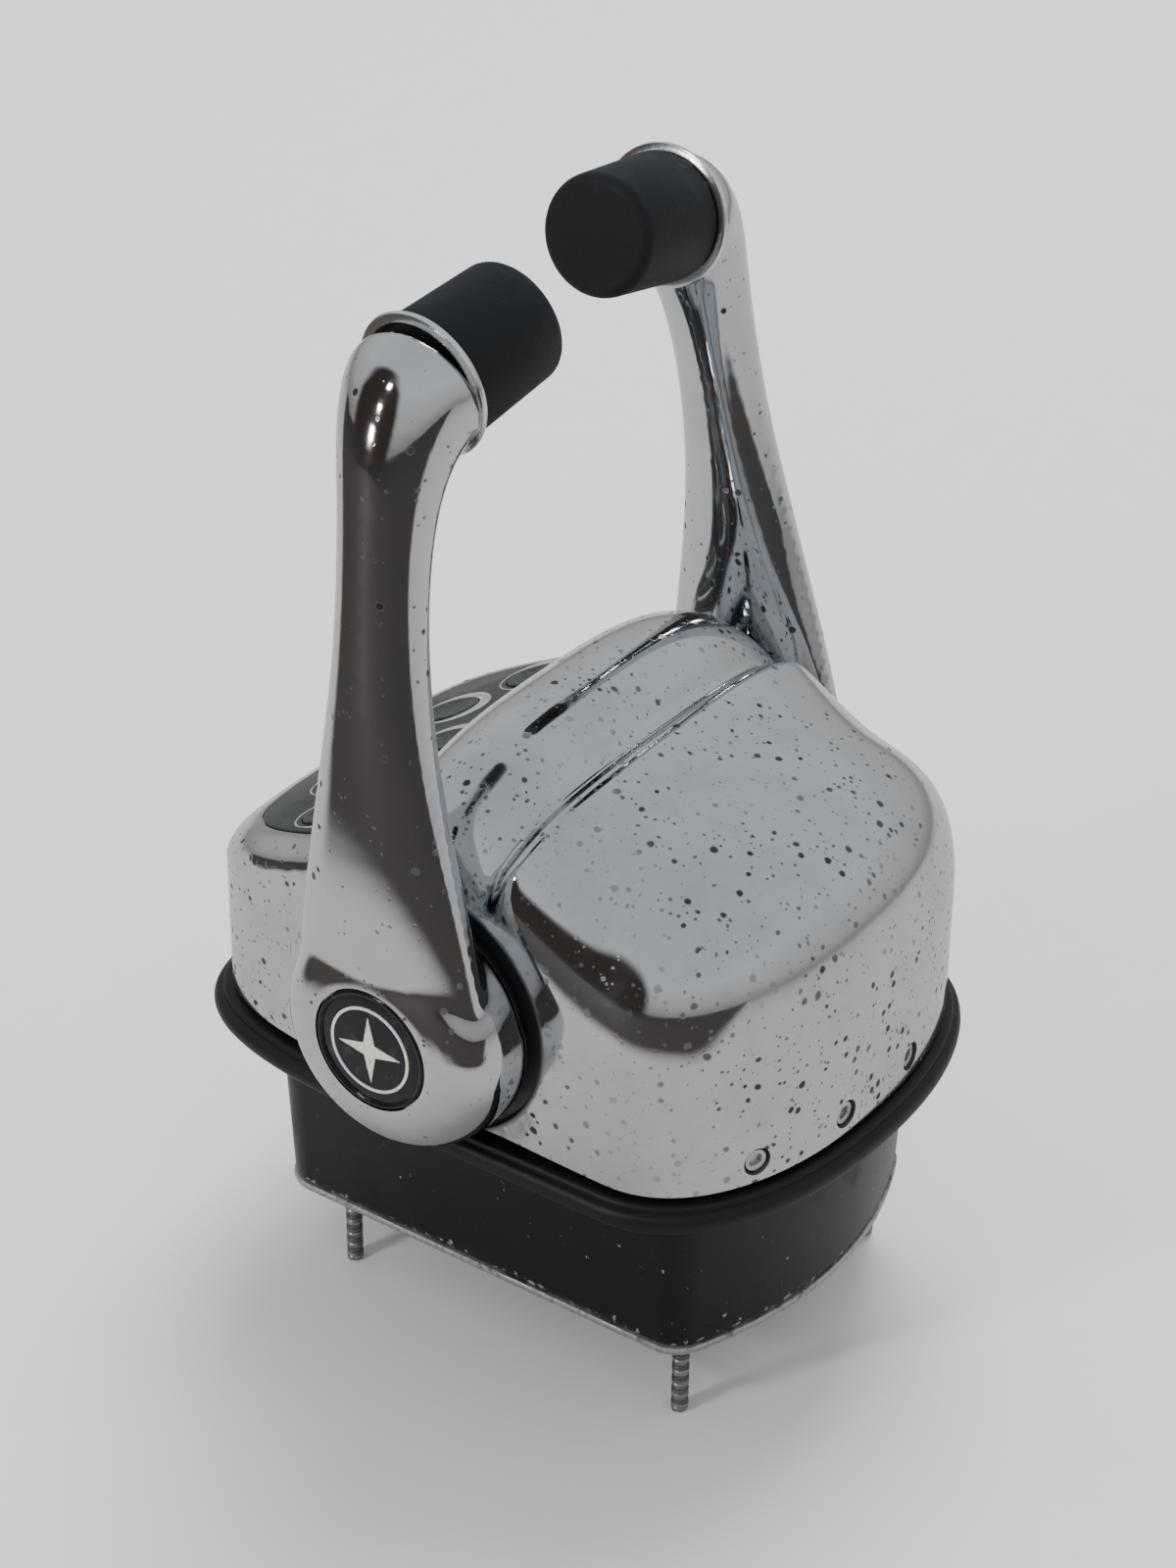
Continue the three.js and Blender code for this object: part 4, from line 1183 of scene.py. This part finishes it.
threaded = stud_tree()
for number, (x, y) in enumerate(STUDS, start=1):
    stud = grow_piece(f"mounting_stud_{number}_thread", [(x, y, THREAD_START)], threaded,
                      THREAD, stud_steel, 30)
    upper = turned("upper", [(0, 22.0), (1.9, 22.0), (1.9, CASE_Z + 0.1), (2.9, CASE_Z + 0.1),
                             (2.9, CASE_Z + 3.4), (1.9, CASE_Z + 3.4), (1.9, 36), (0, 36)],
                   "z", 24)
    tip = turned("tip", [(0, 0), (1.3, 0), (1.85, 0.5), (1.85, 1.0), (0, 1.0)], "z", 24)
    for extra in (upper, tip):
        merge(stud, move(extra, Matrix.Translation((x * MM, y * MM, 0))))
    stud.data.shade_smooth()
    stud.data.set_sharp_from_angle(angle=math.radians(30))
    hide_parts(f"mounting_stud_{number}")
    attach(stud, "base")
report(stud)

for number, x in enumerate(SCREW_X, start=1):
    screw = turned(f"adjuster_screw_{number}_fine",
                   [(0, -11.5), (2, -11.5), (2, -2.1), (2.95, -2.1), (2.95, -1.0), (2.7, -0.7),
                    (1.75, -0.65), (1.5, -0.9), (1.5, -1.75), (0, -1.9)], segments=48)
    move(screw, screw_place(x))
    finish(screw, screw_steel)
    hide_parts(f"adjuster_screw_{number}")
    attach(screw, "base")


# %% [markdown]
# The pieces inside keep their own solids, because their shapes are right and they are seen only
# through small gaps. Each gets the finish that its maker would use: brass for gears and bushes,
# ground steel for shafts and detents, and green laminate for the boards.

# %% Finishes of the inner pieces
INNER = {"bearing_block": inner_steel, "circuit_board": circuit_green,
         "keypad_board": circuit_green, "connector": case_paint, "lever_shaft": inner_steel,
         "hub_bolt": inner_steel, "drive_gear": bush_brass, "detent_disc": inner_steel,
         "shaft_bush": bush_brass, "hub_spacer": dark_spacer_and_hole_shade, "sensor_body": case_paint,
         "sensor_pinion": bush_brass, "detent_plunger": inner_steel,
         "detent_spring": inner_steel}
for name, cad_node in frame["nodes"].items():
    for start, material in INNER.items():
        if name.startswith(start):
            finish(cad_node, material)


# %% [markdown]
# Light and floor. Chrome shows its surroundings, so they matter as much as its own finish. A
# pale ceiling gives the broad blue-grey of the dome, a dark warm wall on one side gives the
# brown edges, and three small soft lamps give the white spots. The world shader makes the first
# two, and the camera sees it as a plain pale wall. The floor is pale to the camera too, but
# reflections see it greyer, with a dark part on the same side as the wall, because a real room
# is darker than a studio sweep.

# %% World, lamps and floor
DARK_SIDE = Vector((0.88, -0.40, 0.20)).normalized()


def make_world():
    world = bpy.data.worlds.new("studio")
    bpy.context.scene.world = world
    world.use_nodes = True
    tree = world.node_tree
    tree.nodes.clear()
    way = node(tree, "ShaderNodeTexCoord", output="Generated")
    axes = split(tree, way)
    height = axes.out("Z")
    ramp = node(tree, "ShaderNodeValToRGB", {"stops": [
        (0.0, rgb(0.45, 0.44, 0.43)), (0.49, rgb(0.36, 0.355, 0.35)),
        (0.56, rgb(0.56, 0.56, 0.56)), (0.75, rgb(0.72, 0.745, 0.77)),
        (1.0, rgb(0.64, 0.68, 0.72))]}, {"Fac": height * 0.5 + 0.5})
    towards = node(tree, "ShaderNodeVectorMath", {"operation": "DOT_PRODUCT"},
                   {0: way, 1: DARK_SIDE}, output="Value")
    dark = step_up(towards, 0.76, 0.86)
    sky = blend_colours(tree, dark, ramp, rgb(0.055, 0.043, 0.038))
    glow = node(tree, "ShaderNodeBackground", {}, {"Color": sky, "Strength": 1.0})
    wall = node(tree, "ShaderNodeBackground", {}, {"Color": rgb(0.9, 0.9, 0.9), "Strength": 1.0})
    seen = node(tree, "ShaderNodeLightPath", output="Is Camera Ray")
    mixed = node(tree, "ShaderNodeMixShader", {}, {0: seen})
    tree.links.new(glow.socket, mixed.socket.node.inputs[1])
    tree.links.new(wall.socket, mixed.socket.node.inputs[2])
    node(tree, "ShaderNodeOutputWorld", {}, {"Surface": mixed})


def soft_lamp(name, azimuth, elevation, distance, size, power):
    lamp_data = bpy.data.lights.new(name, "AREA")
    lamp_data.shape = "RECTANGLE"
    lamp_data.size, lamp_data.size_y = size
    lamp_data.energy = power
    lamp_object = bpy.data.objects.new(name, lamp_data)
    bpy.context.scene.collection.objects.link(lamp_object)
    way = direction(math.radians(azimuth), math.radians(elevation))
    lamp_object.matrix_world = Matrix.LocRotScale(TARGET + way * distance,
                                                  way.to_track_quat("Z", "Y"), None)
    return lamp_object


def floor_material():
    made, tree, here = new_material("floor_pale")
    grain = noise(tree, here, 60, 3)
    colour = blend_colours(tree, grain, rgb(0.92, 0.92, 0.92), rgb(0.95, 0.95, 0.95))
    axes = split(tree, here)
    reach = (axes * axes + axes.out("Y") * axes.out("Y")).math("SQRT")
    mirrored = node(tree, "ShaderNodeLightPath", output="Is Glossy Ray")
    flag = mirrored * step_up(reach, 0.26, 0.36) * step_up(axes, 0.10, 0.20)
    duller = blend_colours(tree, mirrored, colour, rgb(0.56, 0.55, 0.54))
    shown = blend_colours(tree, flag, duller, rgb(0.06, 0.05, 0.045))
    surface(tree, {"Specular IOR Level": 0.2},
            {"Base Color": shown, "Roughness": 0.8 + 0.1 * grain})
    return made


make_world()
for lamp_number, lamp_elevation in enumerate((8, 22, 38)):
    soft_lamp(f"lamp_{lamp_number}", 68 + 4 * lamp_number, lamp_elevation, 1.5, (0.13, 0.13), 3)
soft_lamp("ceiling", 290, 60, 2.2, (1.2, 1.2), 45).visible_glossy = False
FAR = 4000
floor = make_object("floor", [(-FAR, -FAR, 0), (FAR, -FAR, 0), (FAR, FAR, 0), (-FAR, FAR, 0)],
                    [(0, 1, 2, 3)])
floor.data.materials.append(floor_material())
